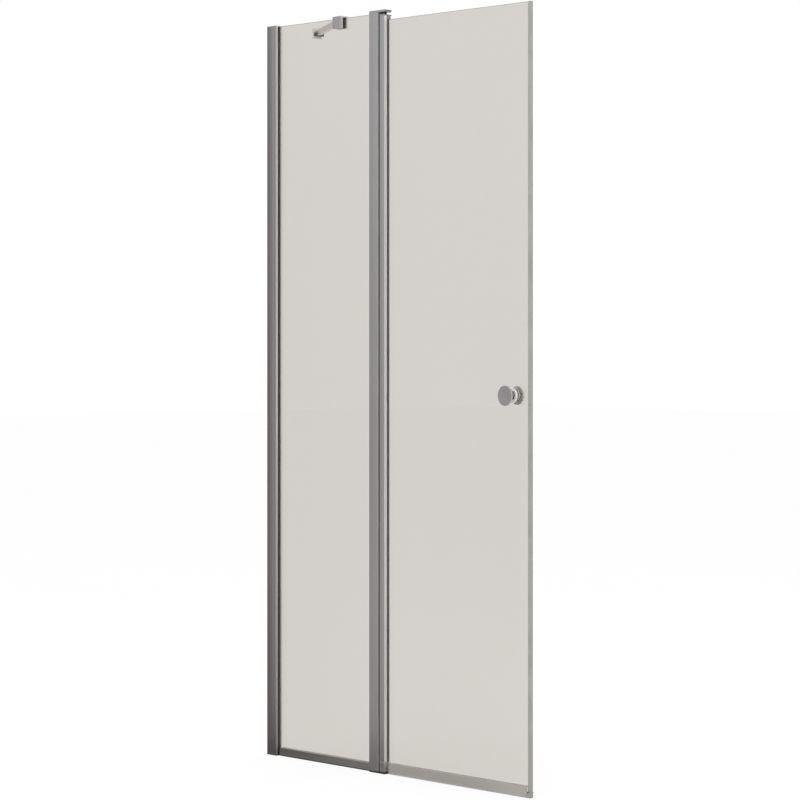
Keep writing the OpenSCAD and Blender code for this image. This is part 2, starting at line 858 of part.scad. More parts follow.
module door_setting_blocks() {
    color([0.20, 0.20, 0.20]) setting_pair(door_rail_x, door_pane_foot);
}

module drip_seal() {
    stem_x = [door_rail_x[0], cap_plug_x - slip];
    color([0.60, 0.60, 0.57]) rail_seal(door_rail_x, stem_x, tray_gap, door_rail_foot);
}

// Cap on the end of the door rail, with a plug in its lower groove and a lip under the closing seal
module rail_end_cap() {
    seal_half = half_glass + seal_leg;
    color([0.60, 0.62, 0.64]) union() {
        block([seal_x, door_w], [-rail_out, seal_half], [tray_gap, end_cap_top - end_lip_t]);
        block([seal_x, door_w], [-seal_half, rail_in], [end_cap_top - end_lip_t, end_cap_top]);
        lengthwise([cap_plug_x, seal_x]) groove_section(door_rail_foot);
    }
}

// Plan of the closing seal: two legs on the glass and a chamber for the magnet
module closing_seal_plan() {
    outer = half_glass + seal_leg;
    chamber = [door_w - seal_nose + seal_leg, door_w - seal_leg / 2];
    difference() {
        area([seal_x, door_w], [-outer, outer]);
        area([seal_x - cut, door_w - seal_nose], [-half_glass, half_glass]);
        area(chamber, [-half_glass, half_glass]);
    }
}

module closing_seal() {
    color([0.67, 0.68, 0.66]) upright([door_pane_foot, leaf_pane_top]) closing_seal_plan();
}

module closing_magnet() {
    chamber = [door_w - seal_nose + seal_leg + slip, door_w - seal_leg / 2 - slip];
    color([0.25, 0.24, 0.24]) upright([door_pane_foot, leaf_pane_top]) {
        area(chamber, [slip - half_glass, half_glass - slip]);
    }
}

// Half section of a knob, from the rosette at 0 to the face of the knob
function knob_outline(d, length) =
    let (
        neck_r = knob_neck_d / 2,
        rim_r = d / 2,
        rim_z = length - knob_rim_t,
        hollow = [for (i = [0:arc_steps]) let (a = 180 - 90 * i / arc_steps)
            [neck_r + knob_fillet + knob_fillet * cos(a), rim_z - knob_fillet + knob_fillet * sin(a)]],
        back_edge = [for (i = [0:arc_steps]) let (a = 90 * i / arc_steps - 90)
            [rim_r - knob_edge + knob_edge * cos(a), rim_z + knob_edge + knob_edge * sin(a)]],
        face_edge = [for (i = [0:arc_steps]) let (a = 90 * i / arc_steps)
            [rim_r - knob_edge + knob_edge * cos(a), length - knob_edge + knob_edge * sin(a)]]
    )
    concat([[0, 0], [neck_r, 0]], hollow, back_edge, face_edge, [[0, length]]);

// Knob along Z, with a blind hole for the stud
module knob_body(d, length) {
    difference() {
        rotate_extrude() polygon(knob_outline(d, length));
        rod_z(stud_d + 2 * fit, [-cut, length - knob_roof_t]);
    }
}

module outer_knob() {
    color([0.72, 0.72, 0.73]) translate([knob_x, -knob_seat, knob_z]) rotate([90, 0, 0]) {
        knob_body(knob_d, knob_out - knob_seat);
    }
}

module inner_knob() {
    color([0.72, 0.72, 0.73]) translate([knob_x, knob_seat, knob_z]) rotate([-90, 0, 0]) {
        knob_body(inner_knob_d, inner_face - knob_seat);
    }
}

// Two flat discs on the glass, one under each knob
module knob_rosettes() {
    color([0.72, 0.72, 0.73]) translate([knob_x, 0, knob_z]) for (y = [-knob_seat, knob_foot]) {
        difference() {
            rod_y(rosette_d, [y, y + rosette_t]);
            rod_y(stud_d + 2 * fit, [y - cut, y + rosette_t + cut]);
        }
    }
}

module knob_stud() {
    ends = [knob_roof_t + slip - knob_out, inner_face - knob_roof_t - slip];
    color([0.75, 0.75, 0.76]) translate([knob_x, 0, knob_z]) rod_y(stud_d, ends);
}

module knob_sleeve() {
    color([0.85, 0.85, 0.84]) translate([knob_x, 0, knob_z]) difference() {
        rod_y(glass_hole_d - 2 * slip, [-half_glass, half_glass]);
        rod_y(stud_d + 2 * fit, [-glass_t, glass_t]);
    }
}

module knob_washers() {
    color([0.80, 0.80, 0.79]) translate([knob_x, 0, knob_z]) for (y = [-knob_foot, half_glass]) {
        difference() {
            rod_y(rosette_d - 2 * washer_inset, [y, y + washer_t]);
            rod_y(stud_d + 2 * fit, [y - cut, y + washer_t + cut]);
        }
    }
}

// Clamp that sits over the top edge of the fixed pane
module glass_clamp() {
    x = [clamp_x, clamp_x + clamp_w];
    slot_y = [jaw_out - face_out, face_in - jaw_in];
    color([0.62, 0.61, 0.62]) difference() {
        block(x, [-face_out, face_in], [clamp_foot, clamp_top]);
        block([x[0] - cut, x[1] + cut], slot_y, [clamp_foot - cut, clamp_roof]);
        for (at = clamp_screw_x) {
            translate([at, 0, clamp_screw_z]) rod_y(clamp_screw_d + 2 * fit, [0, face_in + cut]);
        }
        bar_screw_place() countersink(bar_screw_d, bar_screw_head_d, jaw_in);
    }
}

module clamp_pads() {
    x = [clamp_x, clamp_x + clamp_w];
    z = [clamp_foot + pad_inset, pane_top];
    color([0.06, 0.06, 0.06]) block(x, [jaw_out - face_out, -half_glass], z);
    color([0.06, 0.06, 0.06]) block(x, [half_glass, face_in - jaw_in], z);
}

module clamp_screws() {
    color([0.35, 0.35, 0.36]) for (at = clamp_screw_x) {
        translate([at, 0, clamp_screw_z]) difference() {
            rod_y(clamp_screw_d, [face_in - jaw_in, face_in - slip]);
            translate([0, face_in - jaw_in / 2, 0]) rotate([-90, 0, 0]) {
                cylinder(h = jaw_in, d = clamp_screw_d * socket_part, $fn = 6);
            }
        }
    }
}

// Place of the screw that holds the bar, with its head on the glass side of the back jaw
module bar_screw_place() {
    translate([bar_screw_x, face_in - jaw_in, bar_screw_z]) rotate([90, 0, 0]) children();
}

module bar_screw() {
    color([0.75, 0.75, 0.76]) bar_screw_place() countersunk(bar_screw_d, bar_screw_head_d, bar_screw_l);
}

// Long flat bar between the clamp and the flange, before its ends are cut, grown by a clearance
module bar_blank(grow) {
    long = 2 * norm(bar_to - bar_from);
    size = [long, bar_s + 2 * grow, bar_h + 2 * grow];
    translate([bar_from[0], bar_from[1], bar_z]) rotate(bar_turn) {
        translate([-long / 4, -size[1] / 2, -size[2] / 2]) cube(size);
    }
}

module stabiliser_bar() {
    color([0.70, 0.70, 0.69]) difference() {
        intersection() {
            bar_blank(0);
            block([flange_t + bar_end_gap, clamp_x + 2 * clamp_w], [face_in, flange_y + flange_w],
                  [clamp_foot, clamp_top + cut]);
        }
        bar_screw_place() rod_z(bar_screw_d + 2 * fit, [-bar_screw_l - slip, 0]);
        boot_pin_place() rod_z(boot_pin_d + 2 * fit, [-cut, boot_pin_l + slip]);
    }
}

module boot_pin_place() {
    translate([boot_x, boot_pin_y, boot_foot]) children();
}

// Boot on the flange, open at its top, in which the end of the bar rests
module bar_boot() {
    color([0.10, 0.11, 0.10]) difference() {
        block([flange_t, flange_t + boot_d], [flange_y - boot_w / 2, flange_y + boot_w / 2],
              [boot_foot, boot_foot + boot_h]);
        bar_blank(slip);
        boot_pin_place() rod_z(boot_pin_d + 2 * fit, [-cut, boot_pin_l]);
    }
}

module boot_pin() {
    color([0.75, 0.75, 0.76]) boot_pin_place() rod_z(boot_pin_d, [slip, boot_pin_l]);
}

module wall_flange() {
    sink_h = (flange_sink_d - wall_hole_d) / 2;
    color([0.72, 0.72, 0.71]) difference() {
        block([0, flange_t], [flange_y - flange_w / 2, flange_y + flange_w / 2],
              [flange_z - flange_h / 2, flange_z + flange_h / 2]);
        translate([0, flange_hole_y, flange_hole_z]) {
            rod_x(wall_hole_d, [-cut, flange_t + cut]);
            translate([flange_t - sink_h, 0, 0]) rotate([0, 90, 0]) {
                cylinder(h = sink_h, d1 = wall_hole_d, d2 = flange_sink_d);
            }
        }
    }
}

wall_channel();
frame_profile();
frame_cap();
frame_foot();
adjusting_screws();
screw_covers();
fixed_glass();
frame_gasket_out();
frame_gasket_in();
fixed_rail();
rail_gaskets();
setting_blocks();
sill_seal();
rail_end_pads();
post();
post_gasket_out();
post_gasket_in();
post_strip();
top_bracket();
bottom_bracket();
bracket_screws();
upper_bush();
upper_pivot_pin();
lower_pivot_pin();
fixed_lift_cam();
glass_clamp();
clamp_pads();
clamp_screws();
stabiliser_bar();
bar_screw();
bar_boot();
boot_pin();
wall_flange();
hinge_profile();
upper_plug();
lower_block();
hinge_end_screws();
lower_bush();
moving_lift_cam();
hinge_gasket_out();
hinge_gasket_in();
door_glass();
door_rail();
door_rail_gaskets();
door_setting_blocks();
drip_seal();
rail_end_cap();
closing_seal();
closing_magnet();
outer_knob();
inner_knob();
knob_rosettes();
knob_stud();
knob_sleeve();
knob_washers();
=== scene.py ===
"""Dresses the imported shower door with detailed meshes, finishes, soft light and the photograph's camera."""

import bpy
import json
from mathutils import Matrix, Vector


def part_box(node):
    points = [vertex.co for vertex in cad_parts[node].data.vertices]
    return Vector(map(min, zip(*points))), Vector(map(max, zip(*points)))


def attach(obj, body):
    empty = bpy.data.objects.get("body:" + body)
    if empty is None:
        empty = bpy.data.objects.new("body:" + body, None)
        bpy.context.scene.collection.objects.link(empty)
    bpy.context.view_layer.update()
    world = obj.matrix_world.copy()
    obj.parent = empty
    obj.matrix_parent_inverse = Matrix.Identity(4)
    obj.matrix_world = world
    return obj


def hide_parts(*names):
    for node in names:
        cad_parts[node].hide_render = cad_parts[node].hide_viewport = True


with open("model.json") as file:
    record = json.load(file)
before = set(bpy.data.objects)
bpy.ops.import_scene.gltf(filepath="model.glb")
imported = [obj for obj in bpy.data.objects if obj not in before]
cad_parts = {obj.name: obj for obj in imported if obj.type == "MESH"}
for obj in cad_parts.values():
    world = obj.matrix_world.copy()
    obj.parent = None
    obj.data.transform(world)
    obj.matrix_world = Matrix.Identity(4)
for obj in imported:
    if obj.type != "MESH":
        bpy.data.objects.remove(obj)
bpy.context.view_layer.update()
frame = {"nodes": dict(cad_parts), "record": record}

import json
import logging
import math
from dataclasses import dataclass
from enum import Enum
from functools import reduce

import bmesh
import bpy
from mathutils import Matrix, Vector

LOG = logging.getLogger("shower_door")
MM = 0.001  # one millimetre in metres
WELD = 1e-6  # distance under which points merge
SHARP = math.radians(32.0)  # angle over which an edge stays sharp
FLAT = math.radians(0.8)  # angle under which faces count as one
FACING = 0.8  # cosine over which a face faces a direction
STRAIGHT = math.radians(89.0)  # half the angle over which a corner counts as straight
SHORTEST = 2.5  # edges shorter than this many roundings stay sharp
FINE_R = 0.2  # fine rounding of an extruded edge, in millimetres
SOFT_R = 0.3  # soft rounding of an extruded edge, in millimetres
ALL = (0.0, 1.0)
NOISE_SHIFT = (1.0, 1.7, 2.3)  # how a noise's shift falls on X, Y and Z
NOISE_MIDDLE = (0.3, 0.7)  # range that holds most of a noise
FRONT = (0.0, -1.0, 0.0)
BACK = (0.0, 1.0, 0.0)
DOWN = (0.0, 0.0, -1.0)
UP = (0.0, 0.0, 1.0)
LEFT = (-1.0, 0.0, 0.0)
RIGHT = (1.0, 0.0, 0.0)
DARK_SIDE = (-0.906, -0.423, 0.0)  # where a mirror finds the room darkest
FRONT_SIDE = (-0.75, -0.66, 0.0)  # where the fronts mirror it
HIGH_TONES = [(0.0, (0.82, 0.82, 0.82)), (0.4, (0.84, 0.84, 0.84)), (0.86, (0.92, 0.92, 0.92)),
              (0.933, (0.75, 0.75, 0.76)), (0.963, (0.56, 0.56, 0.57)), (0.979, (0.545, 0.54, 0.548)),
              (0.985, (0.39, 0.386, 0.388)), (0.9975, (0.22, 0.215, 0.215)), (1.0, (0.14, 0.14, 0.14))]
LOW_TONES = [(0.0, (0.95, 0.95, 0.95)), (0.86, (0.92, 0.92, 0.92)), (0.933, (0.60, 0.595, 0.59)),
             (0.963, (0.45, 0.445, 0.44)), (0.979, (0.455, 0.45, 0.445)), (0.985, (0.335, 0.33, 0.325)),
             (0.9975, (0.20, 0.195, 0.19)), (1.0, (0.14, 0.14, 0.14))]
Point = tuple[float, float]
Triple = tuple[float, float, float]
Corner = Triple
Colour = Triple
Loop = list[Point]
Tones = list[tuple[float, Colour]]
Spot = tuple[Vector, Triple]
Socket = bpy.types.NodeSocket
Material = bpy.types.Material
Mesh = bpy.types.Mesh


class Run(Enum):
    """Direction in which an extruded piece runs."""

    X = "x"
    Y = "y"
    Z = "z"


def scaled(tone: Colour, share: float) -> Colour:
    """Returns a linear colour or a direction multiplied by a share."""
    return tuple(min(1.0, c * share) for c in tone)


def spaced(scale: float | Point | Triple, run: Run) -> Triple:
    """Gives a noise scale for each axis.

    Args:
        scale: One for all axes, one across and one along the run, or one for each axis.
        run: Direction in which the piece runs.

    Returns:
        The scale along X, Y and Z.
    """
    if isinstance(scale, float):
        return (scale, scale, scale)
    if len(scale) == 3:
        return scale
    return tuple(scale[axis is run] for axis in Run)


class Nodes:
    """A node tree, with short calls for adding nodes."""

    def __init__(self, tree: bpy.types.NodeTree) -> None:
        """Keeps the tree."""
        self.tree = tree

    def feed(self, target: Socket, value: object) -> None:
        """Gives an input a value.

        Args:
            target: The input socket.
            value: A socket to link, a list of sockets or a plain value.
        """
        for source in value if isinstance(value, list) else [value]:
            if isinstance(source, Socket):
                self.tree.links.new(source, target)
            else:
                target.default_value = source

    def node(self, kind: str, inputs: dict[str | int, object] | None = None,
             **settings: object) -> bpy.types.Node:
        """Adds a node.

        Args:
            kind: Blender's name of the node type.
            inputs: What is fed to its inputs, by their names or numbers.
            **settings: Properties to set on the node.

        Returns:
            The new node.
        """
        made = self.tree.nodes.new(kind)
        for key, value in settings.items():
            setattr(made, key, value)
        for key, value in (inputs or {}).items():
            self.feed(made.inputs[key], value)
        return made

    def maths(self, kind: str, first: Socket | float, second: Socket | float) -> Socket:
        """Adds a Math node and returns the socket with the result."""
        return self.node("ShaderNodeMath", {0: first, 1: second}, operation=kind).outputs[0]


class Shading(Nodes):
    """A shader node tree of a material or of the world."""

    def ranged(self, value: Socket, span: Point, result: Point) -> Socket:
        """Maps the span of a value to the results at its two ends, which also hold beyond them."""
        limits = zip(("From Min", "From Max", "To Min", "To Max"), (*span, *result))
        return self.node("ShaderNodeMapRange", {"Value": value, **dict(limits)}).outputs["Result"]

    def vector(self, kind: str, *values: Socket | Triple, output: str = "Vector", **inputs: Socket) -> Socket:
        """Adds a Vector Math node fed with vectors and named inputs, and returns the output named."""
        made = self.node("ShaderNodeVectorMath", {**dict(enumerate(values)), **inputs}, operation=kind)
        return made.outputs[output]

    def height(self, place: Socket) -> Socket:
        """Returns the socket with the Z of a vector."""
        return self.node("ShaderNodeSeparateXYZ", {0: place}).outputs["Z"]

    def colours(self, value: Socket, stops: Tones) -> Socket:
        """Adds a colour ramp.

        Args:
            value: Socket that picks the colour.
            stops: Positions with their linear colours.

        Returns:
            The socket with the colour.
        """
        ramp = self.node("ShaderNodeValToRGB", {"Fac": value})
        marks = ramp.color_ramp.elements
        while len(marks) < len(stops):
            marks.new(0.5)
        for mark, (position, colour) in zip(marks, stops):
            mark.position = position
            mark.color = (*colour, 1.0)
        return ramp.outputs["Color"]

    def mixed(self, share: Socket, first: Socket, second: Socket) -> Socket:
        """Mixes two shaders by the share of the second and returns the socket with the result."""
        return self.node("ShaderNodeMixShader", {0: share, 1: first, 2: second}).outputs["Shader"]

    def mirrored_tone(self, direction: Socket, tones: Tones) -> Socket:
        """Returns the colour that a mirror finds in a direction, which is darker on one side of the room."""
        side = self.vector("DOT_PRODUCT", direction, DARK_SIDE, output="Value")
        return self.colours(self.ranged(side, (-1.0, 1.0), ALL), tones)

    def looks(self) -> tuple[Socket, Socket]:
        """Tells apart how a ray came.

        Returns:
            Sockets that are 1 for what is seen straight or through the glass, and for what a mirror shows.
        """
        path = self.node("ShaderNodeLightPath").outputs
        seen = self.maths("MAXIMUM", path["Is Camera Ray"], path["Is Transmission Ray"])
        mirror = self.maths("GREATER_THAN", self.maths("SUBTRACT", path["Is Glossy Ray"], seen), 0.5)
        return seen, mirror


class Recipe(Shading):
    """A material's node tree around one Principled shader."""

    def __init__(self, name: str) -> None:
        """Starts the material.

        Args:
            name: Name of the material.
        """
        self.material = bpy.data.materials.new(name)
        self.material.use_nodes = True
        super().__init__(self.material.node_tree)
        self.shader = self.tree.nodes["Principled BSDF"]
        self.place = self.node("ShaderNodeTexCoord").outputs["Object"]

    def set(self, name: str, value: object) -> None:
        """Feeds a socket or sets a plain value on one of the shader's own sockets."""
        self.feed(self.shader.inputs[name], value)

    def end(self, surface: Socket) -> None:
        """Makes a shader the surface of the material."""
        self.feed(self.tree.nodes["Material Output"].inputs["Surface"], surface)

    def noise(self, scale: Triple, detail: float, shift: float = 0.0) -> Socket:
        """Adds noise on object coordinates.

        Args:
            scale: Waves per metre along X, Y and Z.
            detail: Octaves of finer noise.
            shift: Offset that sets this noise apart from others.

        Returns:
            The socket with the noise, from 0 to 1.
        """
        offset = tuple(shift * share for share in NOISE_SHIFT)
        place = self.node("ShaderNodeMapping", {"Vector": self.place, "Scale": scale, "Location": offset})
        inputs = {"Vector": place.outputs["Vector"], "Scale": 1.0, "Detail": detail}
        return self.node("ShaderNodeTexNoise", inputs).outputs["Fac"]

    def spread(self, value: Socket, result: Point = ALL) -> Socket:
        """Maps the middle of a noise to a range and returns the socket with the result."""
        return self.ranged(value, NOISE_MIDDLE, result)

    def total(self, parts: list[Socket]) -> Socket:
        """Adds up values, one or more, and returns the socket with the sum."""
        return reduce(lambda whole, part: self.maths("ADD", whole, part), parts)

    def bump(self, height: Socket, depth: float, relief: float) -> None:
        """Gives the shader a normal bumped by a height from 0 to 1, with its depth in metres."""
        made = self.node("ShaderNodeBump", {"Distance": depth, "Strength": relief, "Height": height})
        self.set("Normal", made.outputs["Normal"])


@dataclass(frozen=True)
class Layer:
    """A noise over a finish, and the ranges that it adds to the shade, the roughness and the height.

    A raw layer adds the noise itself to the height.
    """

    scale: float | Point | Triple
    detail: float
    shift: float = 0.0
    shade: Point | None = None
    gloss: Point | None = None
    height: Point | None = None
    raw: bool = False


@dataclass(frozen=True)
class Finish:
    """Material of one tone, which layers of noise vary between two shares of that tone."""

    name: str
    tone: Colour
    roughness: float
    metal: float = 0.0
    sheen: float = 0.5
    run: Run = Run.Z
    shares: Point = (0.95, 1.04)
    depth: float = 0.00002
    relief: float = 0.5
    layers: tuple[Layer, ...] = ()

    def material(self) -> Material:
        """Builds the material.

        Returns:
            The material.
        """
        recipe = Recipe(self.name)
        recipe.set("Metallic", self.metal)
        recipe.set("Specular IOR Level", self.sheen)
        made = [(layer, self.noise(recipe, layer)) for layer in self.layers]
        stops = [(end, scaled(self.tone, share)) for end, share in zip(ALL, self.shares)]
        shade = recipe.total([recipe.spread(noise, layer.shade) for layer, noise in made if layer.shade])
        colour = recipe.colours(shade, stops)
        recipe.set("Base Color", colour)
        gloss = recipe.total([recipe.spread(noise, layer.gloss) for layer, noise in made if layer.gloss])
        recipe.set("Roughness", recipe.maths("ADD", gloss, self.roughness))
        heights = [noise for layer, noise in made if layer.raw]
        heights += [recipe.spread(noise, layer.height) for layer, noise in made if layer.height]
        recipe.bump(recipe.total(heights), self.depth, self.relief)
        self.complete(recipe, colour)
        return recipe.material

    def noise(self, recipe: Recipe, layer: Layer) -> Socket:
        """Adds the noise of a layer and returns its socket."""
        return recipe.noise(spaced(layer.scale, self.run), layer.detail, layer.shift)

    def complete(self, recipe: Recipe, colour: Socket) -> None:
        """Adds what only one kind of finish has, which is nothing here."""


@dataclass(frozen=True)
class ExtrudedMetal(Finish):
    """Satin anodised aluminium with the faint lines that the die leaves along it.

    The foot is the share of the tone that is left at the foot of an upright, as painted shade that darkens it
    towards the floor.
    """

    roughness: float = 0.24
    metal: float = 1.0
    shares: Point = (0.93, 1.05)
    depth: float = 0.000003
    relief: float = 0.6
    layers: tuple[Layer, ...] = (
        Layer((1900.0, 2.5), 3.0, shade=(0.0, 0.45), gloss=(-0.02, 0.03), raw=True),
        Layer((14.0, 1.6), 2.0, 3.1, shade=(0.0, 0.55), gloss=(-0.035, 0.035)),
        Layer(2600.0, 1.0, 7.7, gloss=(-0.02, 0.03)))
    foot: float = 1.0
    foot_shade_span: Point = (0.05, 1.0)

    def complete(self, recipe: Recipe, colour: Socket) -> None:
        """Darkens the colour towards the foot, as painted shade.

        Args:
            recipe: Node tree of the material.
            colour: Socket with the colour.
        """
        if self.foot == 1.0:
            return
        # painted shade: the base colour darkens towards the floor
        share = recipe.ranged(recipe.height(recipe.place), self.foot_shade_span, (self.foot, 1.0))
        recipe.set("Base Color", recipe.vector("SCALE", colour, Scale=share))


@dataclass(frozen=True)
class PlatedCasting(Finish):
    """Bright plated zinc casting with the soft ripple of its polish."""

    roughness: float = 0.18
    metal: float = 1.0
    relief: float = 0.35
    layers: tuple[Layer, ...] = (
        Layer(240.0, 2.0, raw=True),
        Layer(35.0, 3.0, 1.3, shade=ALL, gloss=(-0.03, 0.04)),
        Layer(3200.0, 1.0, 5.9, gloss=(-0.01, 0.02)))


@dataclass(frozen=True)
class TurnedMetal(Finish):
    """Plated knob that was turned on a lathe, with faint rings around its axis."""

    roughness: float = 0.16
    metal: float = 1.0
    depth: float = 0.000008
    layers: tuple[Layer, ...] = (
        Layer(2400.0, 2.0, gloss=(-0.02, 0.02), raw=True),
        Layer(60.0, 3.0, 2.2, shade=ALL, gloss=(-0.02, 0.03)))
    centre: Triple = (0.0, 0.0, 0.0)

    def noise(self, recipe: Recipe, layer: Layer) -> Socket:
        """Adds the noise of a layer, which runs around the axis where it is a raw one.

        Args:
            recipe: Node tree of the material.
            layer: The layer.

        Returns:
            The socket with the noise.
        """
        if not layer.raw:
            return super().noise(recipe, layer)
        shift = recipe.vector("SUBTRACT", recipe.place, self.centre)
        flat = recipe.vector("MULTIPLY", shift, (1.0, 0.0, 1.0))
        radius = recipe.vector("LENGTH", flat, output="Value")
        inputs = {"W": radius, "Scale": layer.scale, "Detail": layer.detail}
        return recipe.node("ShaderNodeTexNoise", inputs, noise_dimensions="1D").outputs["Fac"]


@dataclass(frozen=True)
class PaneGlass(Finish):
    """Toughened glass with a faint tint, a soft float wave and a thin film of dried water.

    The shadow is the tint of the light behind it, and the bend its refractive index.
    """

    roughness: float = 0.0
    shares: Point = (0.992, 1.0)
    depth: float = 0.00004
    relief: float = 0.2
    layers: tuple[Layer, ...] = (
        Layer((3.0, 3.0, 1.1), 2.0, shade=ALL),
        Layer((22.0, 22.0, 9.0), 4.0, 4.4, gloss=(0.0, 0.012)),
        Layer((1.5, 1.5, 6.0), 1.0, 8.1, raw=True))
    shadow: Colour = (0.8, 0.8, 0.8)
    bend: float = 1.5

    def complete(self, recipe: Recipe, colour: Socket) -> None:
        """Makes the shader glass, which lets the light of the lamps through.

        Args:
            recipe: Node tree of the material.
            colour: Socket with the colour, not used here.
        """
        recipe.set("Transmission Weight", 1.0)
        recipe.set("IOR", self.bend)
        lamp = recipe.node("ShaderNodeLightPath").outputs["Is Shadow Ray"]
        clear = recipe.node("ShaderNodeBsdfTransparent", {"Color": (*self.shadow, 1.0)})
        recipe.end(recipe.mixed(lamp, recipe.shader.outputs["BSDF"], clear.outputs["BSDF"]))


@dataclass(frozen=True)
class SoftStrip(Finish):
    """Extruded rubber or soft vinyl, with drawn lines along it and a fine bloom."""

    shares: Point = (0.9, 1.1)
    depth: float = 0.00003
    layers: tuple[Layer, ...] = (
        Layer((1100.0, 5.0), 2.0, height=(0.0, 0.6)),
        Layer((55.0, 55.0, 18.0), 4.0, 2.6, shade=ALL, gloss=(-0.05, 0.06)),
        Layer(1700.0, 2.0, 6.3, height=(0.0, 0.4)))


@dataclass(frozen=True)
class Moulded(Finish):
    """Moulded plastic with the fine sparked texture of its mould."""

    roughness: float = 0.42
    shares: Point = (0.94, 1.05)
    layers: tuple[Layer, ...] = (
        Layer(2100.0, 3.0, gloss=(-0.05, 0.06), raw=True),
        Layer(40.0, 2.0, 3.7, shade=ALL))


@dataclass(frozen=True)
class Machined(Finish):
    """Plain steel of screws and pins, with fine tool marks."""

    roughness: float = 0.3
    metal: float = 1.0
    shares: Point = (0.85, 1.05)
    depth: float = 0.000012
    layers: tuple[Layer, ...] = (
        Layer((900.0, 900.0, 4200.0), 2.0, gloss=(-0.06, 0.08), raw=True),
        Layer(160.0, 3.0, 1.9, shade=ALL))


class Finishes:
    """All the materials of the door, each built once."""

    def __init__(self) -> None:
        """Builds the materials."""
        self.wall_profile = ExtrudedMetal("wall_profile_metal", (0.52, 0.51, 0.51), 0.14).material()
        # paler, duller copies of the profile metal for the faces towards +X: painted light on the lit side,
        # and the wall's side also gets painted shade at its foot
        self.lit_side_face = ExtrudedMetal("painted_lit_side_metal", (0.70, 0.70, 0.69), 0.3, 0.6).material()
        self.lit_wall_side = ExtrudedMetal("wall_lit_side_metal", (0.70, 0.69, 0.68), 0.3, 0.6, foot=0.5).material()
        self.channel = ExtrudedMetal("channel_metal", (0.50, 0.50, 0.50), 0.34).material()
        self.upright = ExtrudedMetal("upright_metal", (0.68, 0.67, 0.665), 0.18).material()
        self.fixed_rail = ExtrudedMetal("fixed_rail_metal", (0.57, 0.55, 0.53), 0.26, run=Run.X).material()
        self.door_rail = ExtrudedMetal("door_rail_metal", (0.43, 0.415, 0.38), 0.4, 0.5, run=Run.X).material()
        self.bar = ExtrudedMetal("bar_metal", (0.80, 0.79, 0.77), 0.3, run=Run.Y).material()
        self.fitting = PlatedCasting("plated_fitting", (0.68, 0.66, 0.66)).material()
        self.block = PlatedCasting("plated_block", (0.74, 0.72, 0.68), 0.42).material()
        self.cut_face = PlatedCasting("cut_face", (0.29, 0.29, 0.285), 0.4).material()
        self.foot_fitting = PlatedCasting("plated_foot", (0.12, 0.12, 0.12), 0.36).material()
        self.glass = PaneGlass("pane_glass", (0.676, 0.652, 0.616), shadow=(0.80, 0.80, 0.78)).material()
        self.glass_edge = PaneGlass("pane_glass_edge", (0.56, 0.59, 0.56), 0.12, shadow=(0.6, 0.64, 0.62),
                                    bend=1.35).material()
        self.black_rubber = SoftStrip("black_gasket", (0.018, 0.018, 0.018), 0.5).material()
        self.shade_rubber = SoftStrip("shade_gasket", (0.038, 0.038, 0.036), 0.45).material()
        self.dark_rubber = SoftStrip("dark_gasket", (0.030, 0.029, 0.028), 0.5).material()
        self.pale_rubber = SoftStrip("pale_gasket", (0.86, 0.86, 0.84), 0.45).material()
        self.strip_rubber = SoftStrip("gap_strip", (0.19, 0.19, 0.19), 0.45).material()
        self.brown_rubber = SoftStrip("rail_end_rubber", (0.045, 0.038, 0.035), 0.5).material()
        self.edge_vinyl = SoftStrip("edge_vinyl", (0.285, 0.283, 0.262), 0.34).material()
        self.fixed_bead = SoftStrip("fixed_rail_bead", (0.50, 0.50, 0.48), 0.45, run=Run.X).material()
        self.door_bead = SoftStrip("door_rail_bead", (0.80, 0.80, 0.78), 0.45, run=Run.X).material()
        self.sill_rubber = SoftStrip("sill_gasket", (0.03, 0.03, 0.03), 0.6, run=Run.X).material()
        self.drip_vinyl = SoftStrip("drip_vinyl", (0.33, 0.32, 0.30), 0.36, run=Run.X).material()
        self.flange = Moulded("flange_cover", (0.80, 0.81, 0.79), 0.3).material()
        self.rosette = Moulded("rosette_plastic", (0.80, 0.79, 0.78), 0.3).material()
        # black plastic for the band of painted shade round the outer knob's neck
        self.ring = Moulded("neck_shade_plastic", (0.008, 0.008, 0.008), 0.7, sheen=0.15).material()
        self.dark_plastic = Moulded("dark_plastic", (0.020, 0.020, 0.021)).material()
        self.boot = Moulded("boot_plastic", (0.010, 0.011, 0.010)).material()
        self.light_plastic = Moulded("light_plastic", (0.62, 0.62, 0.61), 0.3).material()
        self.cap_plastic = Moulded("cap_plastic", (0.255, 0.255, 0.258), 0.4).material()
        self.magnet = Moulded("magnet_strip", (0.035, 0.033, 0.032), 0.5).material()
        self.steel = Machined("fastener_steel", (0.56, 0.56, 0.56)).material()
        self.black_steel = Machined("blackened_steel", (0.030, 0.030, 0.031), 0.5).material()

    def knobs(self, centre: Vector) -> list[Material]:
        """Builds the finishes of the outer and the inner knob; the inner one is a paler, duller copy of the
        same metal, as painted light.

        Args:
            centre: A point on the axis of the knobs, in metres.

        Returns:
            The two materials.
        """
        place = tuple(centre)
        return [TurnedMetal("outer_knob_metal", (0.61, 0.60, 0.60), centre=place).material(),
                # the inner knob gets a paler, duller copy of the knob metal: painted light
                TurnedMetal("inner_knob_lit_metal", (0.74, 0.73, 0.72), 0.34, 0.5, centre=place).material()]


